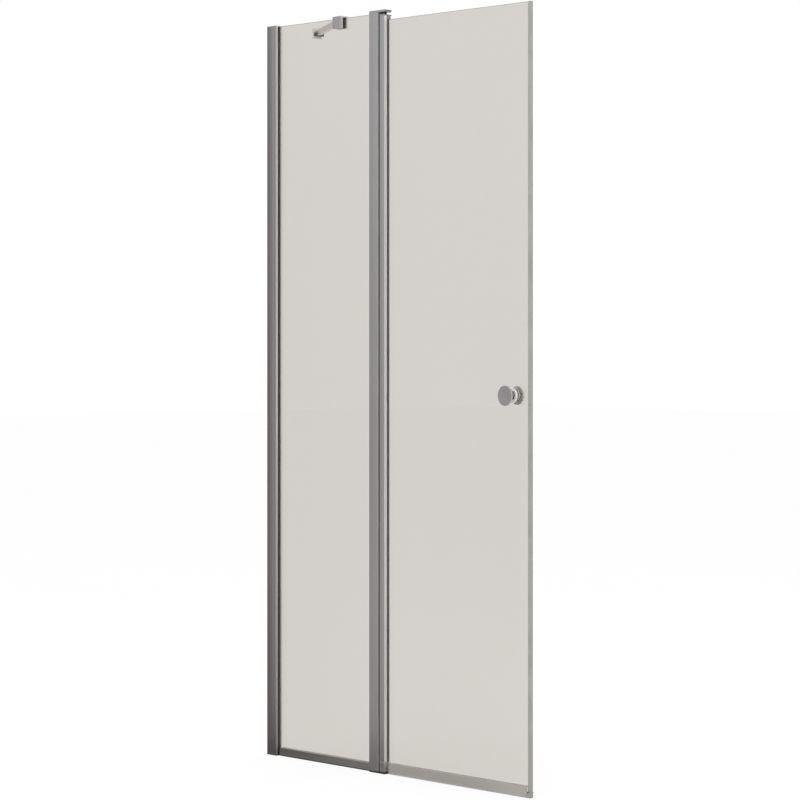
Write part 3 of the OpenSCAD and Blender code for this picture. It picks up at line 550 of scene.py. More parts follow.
class GeometryTree(Nodes):
    """A Geometry Nodes tree with named inputs, run on a throwaway object."""

    def __init__(self, name: str) -> None:
        """Starts a tree with its geometry input and output.

        Args:
            name: Name of the tree.
        """
        super().__init__(bpy.data.node_groups.new(name, "GeometryNodeTree"))
        self.sockets: dict[str, str] = {}
        self.add_input("Geometry", "NodeSocketGeometry")
        self.tree.interface.new_socket("Geometry", in_out="OUTPUT", socket_type="NodeSocketGeometry")
        self.start = self.tree.nodes.new("NodeGroupInput")
        self.end = self.tree.nodes.new("NodeGroupOutput")

    def add_input(self, name: str, kind: str) -> None:
        """Adds a named input and keeps its identifier."""
        made = self.tree.interface.new_socket(name, in_out="INPUT", socket_type=kind)
        self.sockets[name] = made.identifier

    def close(self, geometry: Socket) -> None:
        """Ends the tree in Realize Instances and Set Material.

        Args:
            geometry: Socket with the geometry.
        """
        real = self.node("GeometryNodeRealizeInstances", {"Geometry": geometry})
        dressed = self.node("GeometryNodeSetMaterial",
                            {"Geometry": real.outputs[0], "Material": self.start.outputs["Material"]})
        self.feed(self.end.inputs[0], dressed.outputs[0])

    def run(self, base: Mesh, values: dict[str, object]) -> Mesh:
        """Runs the tree and returns its result as a plain mesh.

        Args:
            base: Mesh that the tree starts from.
            values: Input names with their values.

        Returns:
            The mesh that the tree makes.
        """
        holder = bpy.data.objects.new("holder", base)
        bpy.context.scene.collection.objects.link(holder)
        modifier = holder.modifiers.new("tree", "NODES")
        modifier.node_group = self.tree
        for name, value in values.items():
            modifier[self.sockets[name]] = value
        graph = bpy.context.evaluated_depsgraph_get()
        graph.update()
        mesh = bpy.data.meshes.new_from_object(holder.evaluated_get(graph), depsgraph=graph)
        holder.modifiers.remove(modifier)
        bpy.data.objects.remove(holder)
        return mesh


class SectionTree(GeometryTree):
    """Fills a closed section and draws it up along Z."""

    def __init__(self) -> None:
        """Builds the tree."""
        super().__init__("section_run")
        self.add_input("Length", "NodeSocketFloat")
        self.add_input("Material", "NodeSocketMaterial")
        inputs = self.start.outputs
        curve = self.node("GeometryNodeMeshToCurve", {"Mesh": inputs["Geometry"]})
        filled = self.node("GeometryNodeFillCurve", {"Curve": curve.outputs[0]}, mode="NGONS")
        drawn = self.node("GeometryNodeExtrudeMesh",
                          {"Mesh": filled.outputs[0], "Offset Scale": inputs["Length"], "Individual": False})
        foot = self.node("GeometryNodeFlipFaces", {"Mesh": filled.outputs[0]})
        both = self.node("GeometryNodeJoinGeometry", {"Geometry": [drawn.outputs[0], foot.outputs[0]]})
        welded = self.node("GeometryNodeMergeByDistance", {"Geometry": both.outputs[0], "Distance": WELD})
        self.close(welded.outputs[0])

    def draw(self, loops: list[Loop], length: float, finish: Material) -> Mesh:
        """Draws a section.

        Args:
            loops: Closed outlines of the section in metres, the outer one and its holes.
            length: Length of the piece in metres.
            finish: Material of the piece.

        Returns:
            The mesh, from 0 up along Z.
        """
        base = bpy.data.meshes.new("section")
        points: list[Triple] = []
        edges: list[tuple[int, int]] = []
        for loop in loops:
            first, count = len(points), len(loop)
            points += [(x, y, 0.0) for x, y in loop]
            edges += [(first + i, first + (i + 1) % count) for i in range(count)]
        base.from_pydata(points, edges, [])
        return self.run(base, {"Length": length, "Material": finish})


class ScrewTree(GeometryTree):
    """Sets a screw with a hexagonal socket on each point, turned to the point's facing."""

    rim_share = 0.12
    key_share = 0.6
    key_foot_share = 0.45

    def __init__(self, countersunk: bool) -> None:
        """Builds the tree.

        Args:
            countersunk: True for a conical head under the point, False for a round head over it.
        """
        super().__init__("countersunk_screws" if countersunk else "round_head_screws")
        for name in ("Head Radius", "Head Height", "Shank Radius", "Length"):
            self.add_input(name, "NodeSocketFloat")
        self.add_input("Material", "NodeSocketMaterial")
        inputs = self.start.outputs
        head_h, head_r, shank_r = inputs["Head Height"], inputs["Head Radius"], inputs["Shank Radius"]
        foot = self.maths("MULTIPLY", head_h, -1.0 if countersunk else 0.0)
        rim = self.maths("MULTIPLY", head_h, self.rim_share)
        rim_z = self.maths("SUBTRACT", self.maths("ADD", foot, head_h), rim)
        body_h = self.maths("SUBTRACT", head_h, rim)
        head = self.cone(shank_r if countersunk else head_r, head_r, body_h, foot)
        chamfer = self.cone(head_r, self.maths("SUBTRACT", head_r, rim), rim, rim_z)
        shank = self.cone(shank_r, shank_r, inputs["Length"], self.maths("MULTIPLY", inputs["Length"], -1.0))
        key_r = self.maths("MULTIPLY", shank_r, self.key_share)
        key_z = self.maths("ADD", foot, self.maths("MULTIPLY", head_h, self.key_foot_share))
        key = self.cone(key_r, key_r, head_h, key_z, sides=6)
        union = self.node("GeometryNodeMeshBoolean", {"Mesh 2": [head, chamfer, shank]}, operation="UNION",
                          solver="EXACT")
        cut = self.node("GeometryNodeMeshBoolean", {"Mesh 1": union.outputs[0], "Mesh 2": key},
                        operation="DIFFERENCE", solver="EXACT")
        facing = self.node("GeometryNodeInputNamedAttribute", {"Name": "facing"}, data_type="FLOAT_VECTOR")
        turned = self.node("FunctionNodeAlignRotationToVector", {"Vector": facing.outputs["Attribute"]},
                           axis="Z")
        placed = self.node("GeometryNodeInstanceOnPoints",
                           {"Points": inputs["Geometry"], "Instance": cut.outputs[0],
                            "Rotation": turned.outputs[0]})
        self.close(placed.outputs[0])

    def cone(self, low_r: object, high_r: object, height: object, foot: object, sides: int = 40) -> Socket:
        """Adds a cone or cylinder along Z.

        Args:
            low_r: Radius at its foot.
            high_r: Radius at its top.
            height: Height of the cone.
            foot: Height of its foot.
            sides: Sides around it.

        Returns:
            The socket with the mesh.
        """
        cone = self.node("GeometryNodeMeshCone",
                         {"Vertices": sides, "Radius Top": high_r, "Radius Bottom": low_r, "Depth": height})
        lift = self.node("ShaderNodeCombineXYZ", {"Z": foot})
        return self.node("GeometryNodeTransform",
                         {"Geometry": cone.outputs["Mesh"], "Translation": lift.outputs[0]}).outputs[0]

    def place(self, spots: list[Spot], size: "ScrewSize", finish: Material) -> Mesh:
        """Sets the screws.

        Args:
            spots: Where each head's seat is, with the direction the head faces.
            size: Sizes of the screw in millimetres.
            finish: Material of the screws.

        Returns:
            One mesh with all the screws.
        """
        base = bpy.data.meshes.new("screw_spots")
        base.from_pydata([spot for spot, _ in spots], [], [])
        facing = base.attributes.new("facing", "FLOAT_VECTOR", "POINT")
        for index, (_, direction) in enumerate(spots):
            facing.data[index].vector = direction
        return self.run(base, {"Head Radius": size.head_d * MM / 2, "Head Height": size.head_h * MM,
                               "Shank Radius": size.shank_d * MM / 2, "Length": size.length * MM,
                               "Material": finish})


class RepeatTree(GeometryTree):
    """Repeats one pattern piece on each point, all turned alike."""

    def __init__(self) -> None:
        """Builds the tree."""
        super().__init__("repeated_pieces")
        self.add_input("Pattern", "NodeSocketObject")
        self.add_input("Material", "NodeSocketMaterial")
        inputs = self.start.outputs
        pattern = self.node("GeometryNodeObjectInfo", {"Object": inputs["Pattern"]})
        placed = self.node("GeometryNodeInstanceOnPoints",
                           {"Points": inputs["Geometry"], "Instance": pattern.outputs["Geometry"]})
        self.close(placed.outputs[0])

    def place(self, spots: list[Vector], pattern: Mesh, finish: Material) -> Mesh:
        """Sets the copies.

        Args:
            spots: Place of each copy.
            pattern: Mesh of one piece around the origin.
            finish: Material of the pieces.

        Returns:
            One mesh with all the copies.
        """
        base = bpy.data.meshes.new("repeat_spots")
        base.from_pydata(spots, [], [])
        sample = bpy.data.objects.new("pattern", pattern)
        bpy.context.scene.collection.objects.link(sample)
        mesh = self.run(base, {"Pattern": sample, "Material": finish})
        bpy.data.objects.remove(sample)
        return mesh


@dataclass(frozen=True)
class ScrewSize:
    """Sizes of a screw in millimetres."""

    head_d: float
    head_h: float
    shank_d: float
    length: float


def rounded(corners: list[Corner], steps: int = 4) -> Loop:
    """Rounds each corner of an outline by its own radius.

    Args:
        corners: Place and radius of each corner, in millimetres.
        steps: Parts of each rounding.

    Returns:
        The outline in millimetres.
    """
    loop: Loop = []
    for index, (x, y, radius) in enumerate(corners):
        here = Vector((x, y))
        before = (Vector(corners[index - 1][:2]) - here).normalized()
        after = (Vector(corners[(index + 1) % len(corners)][:2]) - here).normalized()
        half = before.angle(after) / 2
        if radius <= 0 or half > STRAIGHT:
            loop.append((x, y))
            continue
        centre = here + (before + after).normalized() * radius / math.sin(half)
        first = here + before * radius / math.tan(half) - centre
        last = here + after * radius / math.tan(half) - centre
        for part in range(steps + 1):
            share = part / steps
            spoke = (first * (1 - share) + last * share).normalized() * radius
            loop.append(tuple(centre + spoke))
    return loop


def box_corners(x: Point, y: Point, radius: float = 0.0) -> list[Corner]:
    """Returns the corners of a rectangle between two ranges, with one radius."""
    return [(x[0], y[0], radius), (x[1], y[0], radius), (x[1], y[1], radius), (x[0], y[1], radius)]


def box_mm(node: str) -> tuple[Vector, Vector]:
    """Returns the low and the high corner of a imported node's box, in millimetres."""
    low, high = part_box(node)
    return low / MM, high / MM


class Workshop:
    """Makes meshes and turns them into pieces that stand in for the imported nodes."""

    def __init__(self, finishes: Finishes) -> None:
        """Builds the trees and reads which body and slot each node has.

        Args:
            finishes: Materials of the door.
        """
        record = frame["record"]
        self.finishes = finishes
        self.section = SectionTree()
        self.sunk_screws = ScrewTree(countersunk=True)
        self.round_screws = ScrewTree(countersunk=False)
        self.repeats = RepeatTree()
        self.body_of = {node: body for body, nodes in record["behaviour"]["bodies"].items() for node in nodes}
        self.slot_of = {part["node"]: part["material_slot"] for part in record["subparts"]}

    def piece(self, node: str, mesh: Mesh, *finishes: Material) -> bpy.types.Object:
        """Makes a mesh the piece that stands in for a node.

        Args:
            node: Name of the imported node.
            mesh: Mesh of the piece, in place.
            *finishes: Materials in the order of the mesh's material indices.

        Returns:
            The new object.
        """
        parts = [face.material_index for face in mesh.polygons]
        mesh.materials.clear()
        for finish in finishes:
            mesh.materials.append(finish)
        mesh.polygons.foreach_set("material_index", parts)
        mesh.polygons.foreach_set("use_smooth", [True] * len(mesh.polygons))
        mesh.set_sharp_from_angle(angle=SHARP)
        mesh.name = f"{node}_shape"
        shape = bpy.data.objects.new(f"{node}_shape", mesh)
        bpy.context.scene.collection.objects.link(shape)
        shading = shape.modifiers.new("even_shading", "WEIGHTED_NORMAL")
        shading.keep_sharp = True
        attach(shape, self.body_of[node])
        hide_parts(node)
        LOG.info("%s: %d faces", shape.name, len(mesh.polygons))
        return shape

    def dress(self, finish: Material, *nodes: str) -> None:
        """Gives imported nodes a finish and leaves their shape.

        Args:
            finish: Material of the nodes.
            *nodes: Names of the nodes.
        """
        for node in nodes:
            shape = frame["nodes"][node]
            shape.data.materials.clear()
            shape.data.materials.append(finish)
            LOG.info("%s: kept", node)

    def upright(self, node: str, outlines: list[list[Corner]], finish: Material) -> bpy.types.Object:
        """Draws a section in X and Y over the height of a node.

        Args:
            node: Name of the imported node.
            outlines: Corners of the section and its holes, in millimetres.
            finish: Material of the piece.

        Returns:
            The new object.
        """
        low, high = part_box(node)
        mesh = self.section.draw(in_metres(outlines), high.z - low.z, finish)
        mesh.transform(Matrix.Translation((0.0, 0.0, low.z)))
        return self.piece(node, mesh, finish)

    def run_x(self, outlines: list[list[Corner]], x: Point, finish: Material) -> Mesh:
        """Draws a section in Y and Z along X.

        Args:
            outlines: Corners of the section and its holes, in millimetres.
            x: Range along X in millimetres.
            finish: Material of the piece.

        Returns:
            The mesh in place.
        """
        mesh = self.section.draw(in_metres(outlines), (x[1] - x[0]) * MM, finish)
        mesh.transform(Matrix(((0, 0, 1, x[0] * MM), (1, 0, 0, 0), (0, 1, 0, 0), (0, 0, 0, 1))))
        return mesh

    def copied(self, node: str) -> bmesh.types.BMesh:
        """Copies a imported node, merged and with its flat faces whole.

        Args:
            node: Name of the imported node.

        Returns:
            The copy as a mesh under work.
        """
        shape = bmesh.new()
        shape.from_mesh(frame["nodes"][node].data)
        bmesh.ops.remove_doubles(shape, verts=shape.verts, dist=WELD)
        bmesh.ops.dissolve_limit(shape, angle_limit=FLAT, verts=shape.verts, edges=shape.edges)
        return shape

    def softened(self, node: str, radius: float, finish: Material, steps: int = 3, crown: float = 0.0,
                 sides: tuple[tuple[Triple, Material], ...] = ()) -> bpy.types.Object:
        """Stands a copy of a node with rounded edges in for it.

        Args:
            node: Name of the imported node.
            radius: Width of the rounding in millimetres.
            finish: Material of the piece.
            steps: Faces across the rounding.
            crown: How far the front bows out in its middle, in millimetres.
            sides: Directions with the materials of the faces that face them.

        Returns:
            The new object.
        """
        shape = self.copied(node)
        round_edges(shape, radius, steps)
        if crown:
            bow_front(shape, crown)
        shape.normal_update()
        for face in shape.faces:
            face.material_index = 0
            for index, (direction, _) in enumerate(sides, start=1):
                if face.normal.dot(Vector(direction)) > FACING:
                    face.material_index = index
        return self.piece(node, finished(shape), finish, *(skin for _, skin in sides))

    def screws(self, node: str, spots: list[Spot], size: ScrewSize, sunk: bool = True) -> None:
        """Stands steel screws with sunk or round heads in for a node, one on each spot."""
        tree, steel = self.sunk_screws if sunk else self.round_screws, self.finishes.steel
        self.piece(node, tree.place(spots, size, steel), steel)

    def turned(self, outline: Loop, place: Matrix, sides: int = 96) -> Mesh:
        """Turns an outline around its Z axis.

        Args:
            outline: Radius and height of each point, in millimetres.
            place: Where the result goes, in metres.
            sides: Sides around the axis.

        Returns:
            The closed mesh.
        """
        shape = bmesh.new()
        rings = []
        for radius, height in outline:
            around = sides if radius > WELD else 1
            rings.append([shape.verts.new((radius * MM * math.cos(math.tau * i / sides),
                                           radius * MM * math.sin(math.tau * i / sides), height * MM))
                          for i in range(around)])
        for lower, upper in zip(rings, rings[1:]):
            for i in range(sides):
                corners = [lower[i % len(lower)], lower[(i + 1) % len(lower)],
                           upper[(i + 1) % len(upper)], upper[i % len(upper)]]
                shape.faces.new(list(dict.fromkeys(corners)))
        bmesh.ops.recalc_face_normals(shape, faces=shape.faces)
        mesh = finished(shape)
        mesh.transform(place)
        return mesh


def in_metres(outlines: list[list[Corner]]) -> list[Loop]:
    """Returns rounded outlines in metres."""
    return [[(a * MM, b * MM) for a, b in rounded(outline)] for outline in outlines]


def finished(shape: bmesh.types.BMesh) -> Mesh:
    """Turns a mesh under work into a plain mesh.

    Args:
        shape: Mesh under work, which is freed.

    Returns:
        The plain mesh.
    """
    mesh = bpy.data.meshes.new("shape")
    shape.to_mesh(mesh)
    shape.free()
    return mesh


def merged(*meshes: Mesh, apart: bool = False) -> Mesh:
    """Joins several meshes into one.

    Args:
        *meshes: The meshes.
        apart: True where each mesh gets a material index of its own.

    Returns:
        One mesh.
    """
    shape = bmesh.new()
    for index, mesh in enumerate(meshes):
        first = len(shape.faces)
        shape.from_mesh(mesh)
        shape.faces.ensure_lookup_table()
        for face in shape.faces[first:]:
            face.material_index = index if apart else 0
    return finished(shape)


def split(shape: bmesh.types.BMesh, place: Triple, normal: Triple, **settings: bool) -> dict[str, list]:
    """Cuts all faces of a mesh along a plane.

    Args:
        shape: Mesh under work.
        place: A point on the plane, in metres.
        normal: Normal of the plane.
        **settings: Options of the cut.

    Returns:
        What the cut made.
    """
    geometry = [*shape.verts, *shape.edges, *shape.faces]
    return bmesh.ops.bisect_plane(shape, geom=geometry, dist=WELD, plane_co=place, plane_no=normal,
                                  **settings)


def round_edges(shape: bmesh.types.BMesh, radius: float, steps: int) -> None:
    """Rounds the straight edges of a mesh, and leaves the fine ones around its holes.

    Args:
        shape: Mesh under work.
        radius: Width of the rounding in millimetres.
        steps: Faces across the rounding.
    """
    shortest = SHORTEST * radius * MM
    edges = [edge for edge in shape.edges if len(edge.link_faces) == 2
             and edge.calc_face_angle() > SHARP and edge.calc_length() > shortest]
    bmesh.ops.bevel(shape, geom=edges, offset=radius * MM, offset_type="OFFSET", segments=steps, profile=0.5,
                    affect="EDGES", clamp_overlap=True)


def bow_front(shape: bmesh.types.BMesh, crown: float, cuts: int = 14, depth: float = 1.2) -> None:
    """Bows the front of an upright, so that its middle stays where it is and its sides step back.

    Args:
        shape: Mesh under work.
        crown: Step of the sides in millimetres.
        cuts: Number of strips across the front.
        depth: How far behind the front its points still move, in millimetres.
    """
    low = min(vert.co.x for vert in shape.verts)
    high = max(vert.co.x for vert in shape.verts)
    front = min(vert.co.y for vert in shape.verts)
    for part in range(1, cuts):
        split(shape, (low + (high - low) * part / cuts, 0.0, 0.0), RIGHT)
    for vert in shape.verts:
        if vert.co.y < front + depth * MM:
            share = 2.0 * (vert.co.x - low) / (high - low) - 1.0
            vert.co.y += crown * MM * share * share


@dataclass
class Gasket:
    """Wedge gasket with a rounded visible edge and ribs that grip in the pocket.

    The nose is 1 where the visible edge is on the far side of X, and -1 on the near side. The lit shell is a
    pale material on the outer quarter, where the gasket has one: painted light, like the lit side face beside
    it.
    """

    shop: Workshop
    node: str
    nose: int
    finish: Material
    lit_shell: Material | None = None
    lit_shell_share: float = 0.24
    slope_w: float = 1.4
    slope_share: float = 0.25
    slope_r: float = 0.25
    ribs: int = 3
    first_rib: float = 2.6
    rib_step: float = 1.7
    rib_w: float = 0.7
    rib_h: float = 0.4
    tip_r: float = 0.1

    def build(self) -> None:
        """Builds the gasket."""
        low, high = box_mm(self.node)
        near, far = (low.x, high.x) if self.nose > 0 else (high.x, low.x)
        front, back, thick = low.y, high.y, high.y - low.y
        slope = [(far, front + thick * self.slope_share, self.slope_r),
                 (far - self.nose * self.slope_w, front, SOFT_R)]
        if self.lit_shell is None:
            back_r, valley = min(SOFT_R, thick / 4), front + min(self.rib_h, thick / 5)
            corners = [(near, front, FINE_R), (near, back, FINE_R), (far, back, back_r), *slope]
            for rib in range(self.ribs):
                place = far - self.nose * (self.first_rib + self.rib_step * rib)
                corners += [(place, front, 0.0), (place - self.nose * self.rib_w / 2, valley, self.tip_r),
                            (place - self.nose * self.rib_w, front, 0.0)]
            self.shop.upright(self.node, [corners], self.finish)
            return
        # the outer quarter gets the pale shell: painted light
        seam = front + thick * self.lit_shell_share
        parts = ([(near, front, FINE_R), *reversed(slope), (far, seam, 0.0), (near, seam, 0.0)],
                 [(near, seam, 0.0), (far, seam, 0.0), (far, back, SOFT_R), (near, back, FINE_R)])
        length = (high.z - low.z) * MM
        meshes = [self.shop.section.draw(in_metres([part]), length, self.finish) for part in parts]
        mesh = merged(*meshes, apart=True)
        mesh.transform(Matrix.Translation((0.0, 0.0, low.z * MM)))
        self.shop.piece(self.node, mesh, self.lit_shell, self.finish)


@dataclass
class WallSide:
    """Profile on the wall with its channel, cap, foot, screws and gaskets."""

    shop: Workshop
    edge: float = 0.4
    crown: float = 0.6
    channel_edge: float = 0.3
    cap_edge: float = 0.2
    cover_d: float = 11.0
    cover_h: float = 3.6
    cover_wall: float = 1.2
    cover_roof: float = 1.0
    cover_draft: float = 0.3
    cover_dome: float = 1.1
    screw: ScrewSize = ScrewSize(7.5, 2.2, 4.0, 7.0)

    def build(self) -> None:
        """Builds the profile and what sits on it."""
        shop, finish = self.shop, self.shop.finishes
        # the profile's faces towards +X get the paler side metal: painted light
        shop.softened("frame_profile", self.edge, finish.wall_profile, crown=self.crown,
                      sides=((RIGHT, finish.lit_wall_side),))
        shop.softened("wall_channel", self.channel_edge, finish.channel, steps=2)
        shop.softened("frame_cap", self.cap_edge, finish.upright)
        shop.softened("frame_foot", self.cap_edge, finish.dark_plastic)
        self.screws()
        Gasket(shop, "frame_gasket_out", 1, finish.black_rubber).build()
        Gasket(shop, "frame_gasket_in", 1, finish.pale_rubber).build()

    def screws(self) -> None:
        """Builds the adjusting screws and the domed covers over them."""
        shop, plastic = self.shop, self.shop.finishes.light_plastic
        low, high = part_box("screw_covers")
        x = (low.x + high.x) / 2
        foot, top = low.z + self.cover_d / 2 * MM, high.z - self.cover_d / 2 * MM
        spots = [Vector((x, low.y, z)) for z in (foot, (foot + top) / 2, top)]
        shop.screws("adjusting_screws", [(spot, BACK) for spot in spots], self.screw, sunk=False)
        cover = shop.turned(self.cover_outline(), Matrix.Rotation(math.radians(-90), 4, "X"), sides=64)
        shop.piece("screw_covers", shop.repeats.place(spots, cover, plastic), plastic)

    def cover_outline(self) -> Loop:
        """Returns the half section of a cover, hollow over its screw.

        Returns:
            Radius and height of each point, in millimetres.
        """
        radius, dome, inside = self.cover_d / 2, self.cover_dome, self.cover_h - self.cover_roof
        bore = radius - self.cover_wall
        return [(0.0, inside), (bore - self.cover_draft, inside), (bore, 0.0), (radius, 0.0),
                *arc(radius - dome, self.cover_h - dome, dome, 0, 90, 8), (0.0, self.cover_h)]


@dataclass
class FixedPanel:
    """Fixed pane with its rail, gaskets, pads and seals."""

    shop: Workshop
    arris: float = 1.0
    rail_wall: float = 1.6
    rail_edge: float = 0.7
    groove_h: float = 5.2
    pad_edge: float = 0.4

    def build(self) -> None:
        """Builds the pane and what carries it."""
        shop, finish = self.shop, self.shop.finishes
        build_pane(shop, "fixed_glass", self.arris)
        build_rail(shop, "fixed_rail", self, finish.fixed_rail)
        build_rail_gaskets(shop, "rail_gaskets", finish.fixed_bead)
        shop.softened("sill_seal", self.pad_edge, finish.sill_rubber)
        shop.softened("rail_end_pads", self.pad_edge, finish.brown_rubber, steps=2)
        shop.softened("setting_blocks", SOFT_R, finish.dark_plastic, steps=2)


def build_pane(shop: Workshop, node: str, arris: float, facing: float = 0.99) -> None:
    """Builds a pane with ground edges, which are greener than its faces.

    Args:
        shop: Maker of the pieces.
        node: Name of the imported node.
        arris: Width of the ground edges in millimetres.
        facing: How squarely a face of the pane looks along Y, from 0 to 1.
    """
    shape = shop.copied(node)
    round_edges(shape, arris, 1)
    shape.normal_update()
    for face in shape.faces:
        face.material_index = 0 if abs(face.normal.y) > facing else 1
    shop.piece(node, finished(shape), shop.finishes.glass, shop.finishes.glass_edge)


def build_rail(shop: Workshop, node: str, size: "FixedPanel | DoorLeaf", finish: Material,
               corner: float = 0.0) -> None:
    """Builds a rail with a groove for the pane above and one for the seal below.

    Args:
        shop: Maker of the pieces.
        node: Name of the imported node.
        size: Sub-assembly that holds the sizes of the rail.
        finish: Material of the rail.
        corner: Radius of its upper corner by the turning profile, in millimetres.
    """
    low, high = box_mm(node)
    wall, edge = size.rail_wall, size.rail_edge
    y = (low.y + wall, high.y - wall)
    floor = (low.z + size.groove_h, low.z + size.groove_h + wall)
    corners = [(low.y, low.z, SOFT_R), (y[0], low.z, FINE_R), (y[0], floor[0], SOFT_R),
               (y[1], floor[0], SOFT_R), (y[1], low.z, FINE_R), (high.y, low.z, SOFT_R),
               (high.y, high.z, edge), (y[1], high.z, SOFT_R), (y[1], floor[1], SOFT_R),
               (y[0], floor[1], SOFT_R), (y[0], high.z, SOFT_R), (low.y, high.z, edge)]
    mesh = shop.run_x([corners], (low.x, high.x), finish)
    if corner:
        mesh = cut_corner(mesh, Vector((low.x, 0.0, high.z)), corner)
    shop.piece(node, mesh, finish)


def cut_corner(mesh: Mesh, tip: Vector, radius: float, steps: int = 5) -> Mesh:
    """Rounds the upper left corner of a rail.

    Args:
        mesh: Mesh of the rail, in metres.
        tip: The corner in millimetres.
        radius: Radius of the rounding in millimetres.
        steps: Flats of the rounding.

    Returns:
        The rounded mesh.
    """
    shape = bmesh.new()
    shape.from_mesh(mesh)
    centre = tip + Vector((radius, 0.0, -radius))
    for part in range(steps):
        turn = math.radians(90 * (part + 0.5) / steps)
        outward = Vector((-math.cos(turn), 0.0, math.sin(turn)))
        cut = split(shape, (centre + outward * radius) * MM, outward, clear_outer=True)
        rim = [item for item in cut["geom_cut"] if isinstance(item, bmesh.types.BMEdge)]
        bmesh.ops.contextual_create(shape, geom=rim)
    return finished(shape)


def build_rail_gaskets(shop: Workshop, node: str, finish: Material, edge: float = 0.5) -> None:
    """Builds the two beads beside the pane in a rail, with rounded tops.

    Args:
        shop: Maker of the pieces.
        node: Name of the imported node.
        finish: Material of the beads.
        edge: Radius of their edges in millimetres.
    """
    low, high = box_mm(node)
    glass_low, glass_high = box_mm("fixed_glass")
    beads = [shop.run_x([box_corners(y, (low.z, high.z), edge)], (low.x, high.x), finish)
             for y in ((low.y, glass_low.y), (glass_high.y, high.y))]
    shop.piece(node, merged(*beads), finish)


@dataclass
class PostAndPivots:
    """Post between the panes, with the dark strip, the brackets and the pivots of the leaf."""

    shop: Workshop
    wall: float = 1.8
    pocket: float = 13.0
    lip_out: float = 6.0
    lip_in: float = 3.0
    edge: float = 0.6
    crown: float = 0.12
    bracket_edge: float = 0.5
    lip_edge: float = 0.4
    strip_rib: float = 0.5
    strip_inset: float = 3.0
    strip_ribs: int = 5
    strip_crest: float = 0.9
    strip_edge: float = 0.9
    strip_gap: float = 0.3
    strip_tip: float = 0.1
    screw: ScrewSize = ScrewSize(7.5, 1.75, 4.0, 22.0)

    def build(self) -> None:
        """Builds the post and what sits on it."""
        shop, finish = self.shop, self.shop.finishes
        self.post()
        self.strip()
        Gasket(shop, "post_gasket_out", -1, finish.black_rubber).build()
        Gasket(shop, "post_gasket_in", -1, finish.pale_rubber).build()
        # the bracket's downward faces get dark plastic: painted shade under the bracket
        shop.softened("top_bracket", self.bracket_edge, finish.fitting,
                      sides=((DOWN, finish.dark_plastic), (RIGHT, finish.cut_face)))
        shop.softened("bottom_bracket", self.bracket_edge, finish.foot_fitting)
        self.bracket_screws()
        shop.dress(finish.dark_plastic, "upper_bush", "fixed_lift_cam")
        shop.dress(finish.black_steel, "upper_pivot_pin")
        shop.dress(finish.steel, "lower_pivot_pin")

    def post(self, cuts: int = 10) -> None:
        """Builds the post with its pocket, its slightly bowed front and its chambers.

        Args:
            cuts: Strips across the front.
        """
        low, high = box_mm("post")
        wall, edge = self.wall, self.edge
        inner = (low.y + self.lip_out, high.y - self.lip_in)
        base = low.x + self.pocket
        front = []
        for part in range(cuts + 1):
            share = 2 * part / cuts - 1
            radius = edge if part in (0, cuts) else 0.0
            front.append((low.x + (high.x - low.x) * part / cuts, low.y + self.crown * share * share, radius))
        outer = [*front, (high.x, high.y, edge), (low.x, high.y, edge), (low.x, inner[1], self.lip_edge),
                 (base, inner[1], SOFT_R), (base, inner[0], SOFT_R), (low.x, inner[0], self.lip_edge)]
        lip = box_corners((low.x + wall, base), (low.y + wall, inner[0] - wall), self.lip_edge)
        chamber = box_corners((base + wall, high.x - wall), (low.y + wall, high.y - wall), edge)
        self.shop.upright("post", [outer, lip, chamber], self.shop.finishes.upright)

    def strip(self) -> None:
        """Builds the strip in the gap, with soft ribs towards the turning profile."""
        low, high = box_mm("post_strip")
        inset, edge, gap, crest = self.strip_inset, self.strip_edge, self.strip_gap, self.strip_crest
        corners = [(low.x, low.y, FINE_R), (high.x, low.y, edge), (high.x, low.y + inset, SOFT_R)]
        step = (high.y - low.y - 2 * inset) / self.strip_ribs
        valley = high.x - self.strip_rib
        for rib in range(self.strip_ribs):
            start = low.y + inset + step * rib
            end = start + step
            corners += [(valley, start + gap, self.strip_tip), (valley, end - crest - gap, self.strip_tip),
                        (high.x, end - crest, FINE_R), (high.x, end, FINE_R)]
        corners += [(high.x, high.y, edge), (low.x, high.y, FINE_R)]
        self.shop.upright("post_strip", [corners], self.shop.finishes.strip_rubber)

    def bracket_screws(self) -> None:
        """Builds the screws that hold both brackets on the post."""
        low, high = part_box("bracket_screws")
        radius = self.screw.head_d / 2 * MM
        x = (low.x + high.x) / 2
        spots = [(Vector((x, y, z)), facing) for y in (low.y + radius, high.y - radius)
                 for z, facing in ((high.z, UP), (low.z, DOWN))]
        self.shop.screws("bracket_screws", spots, self.screw)


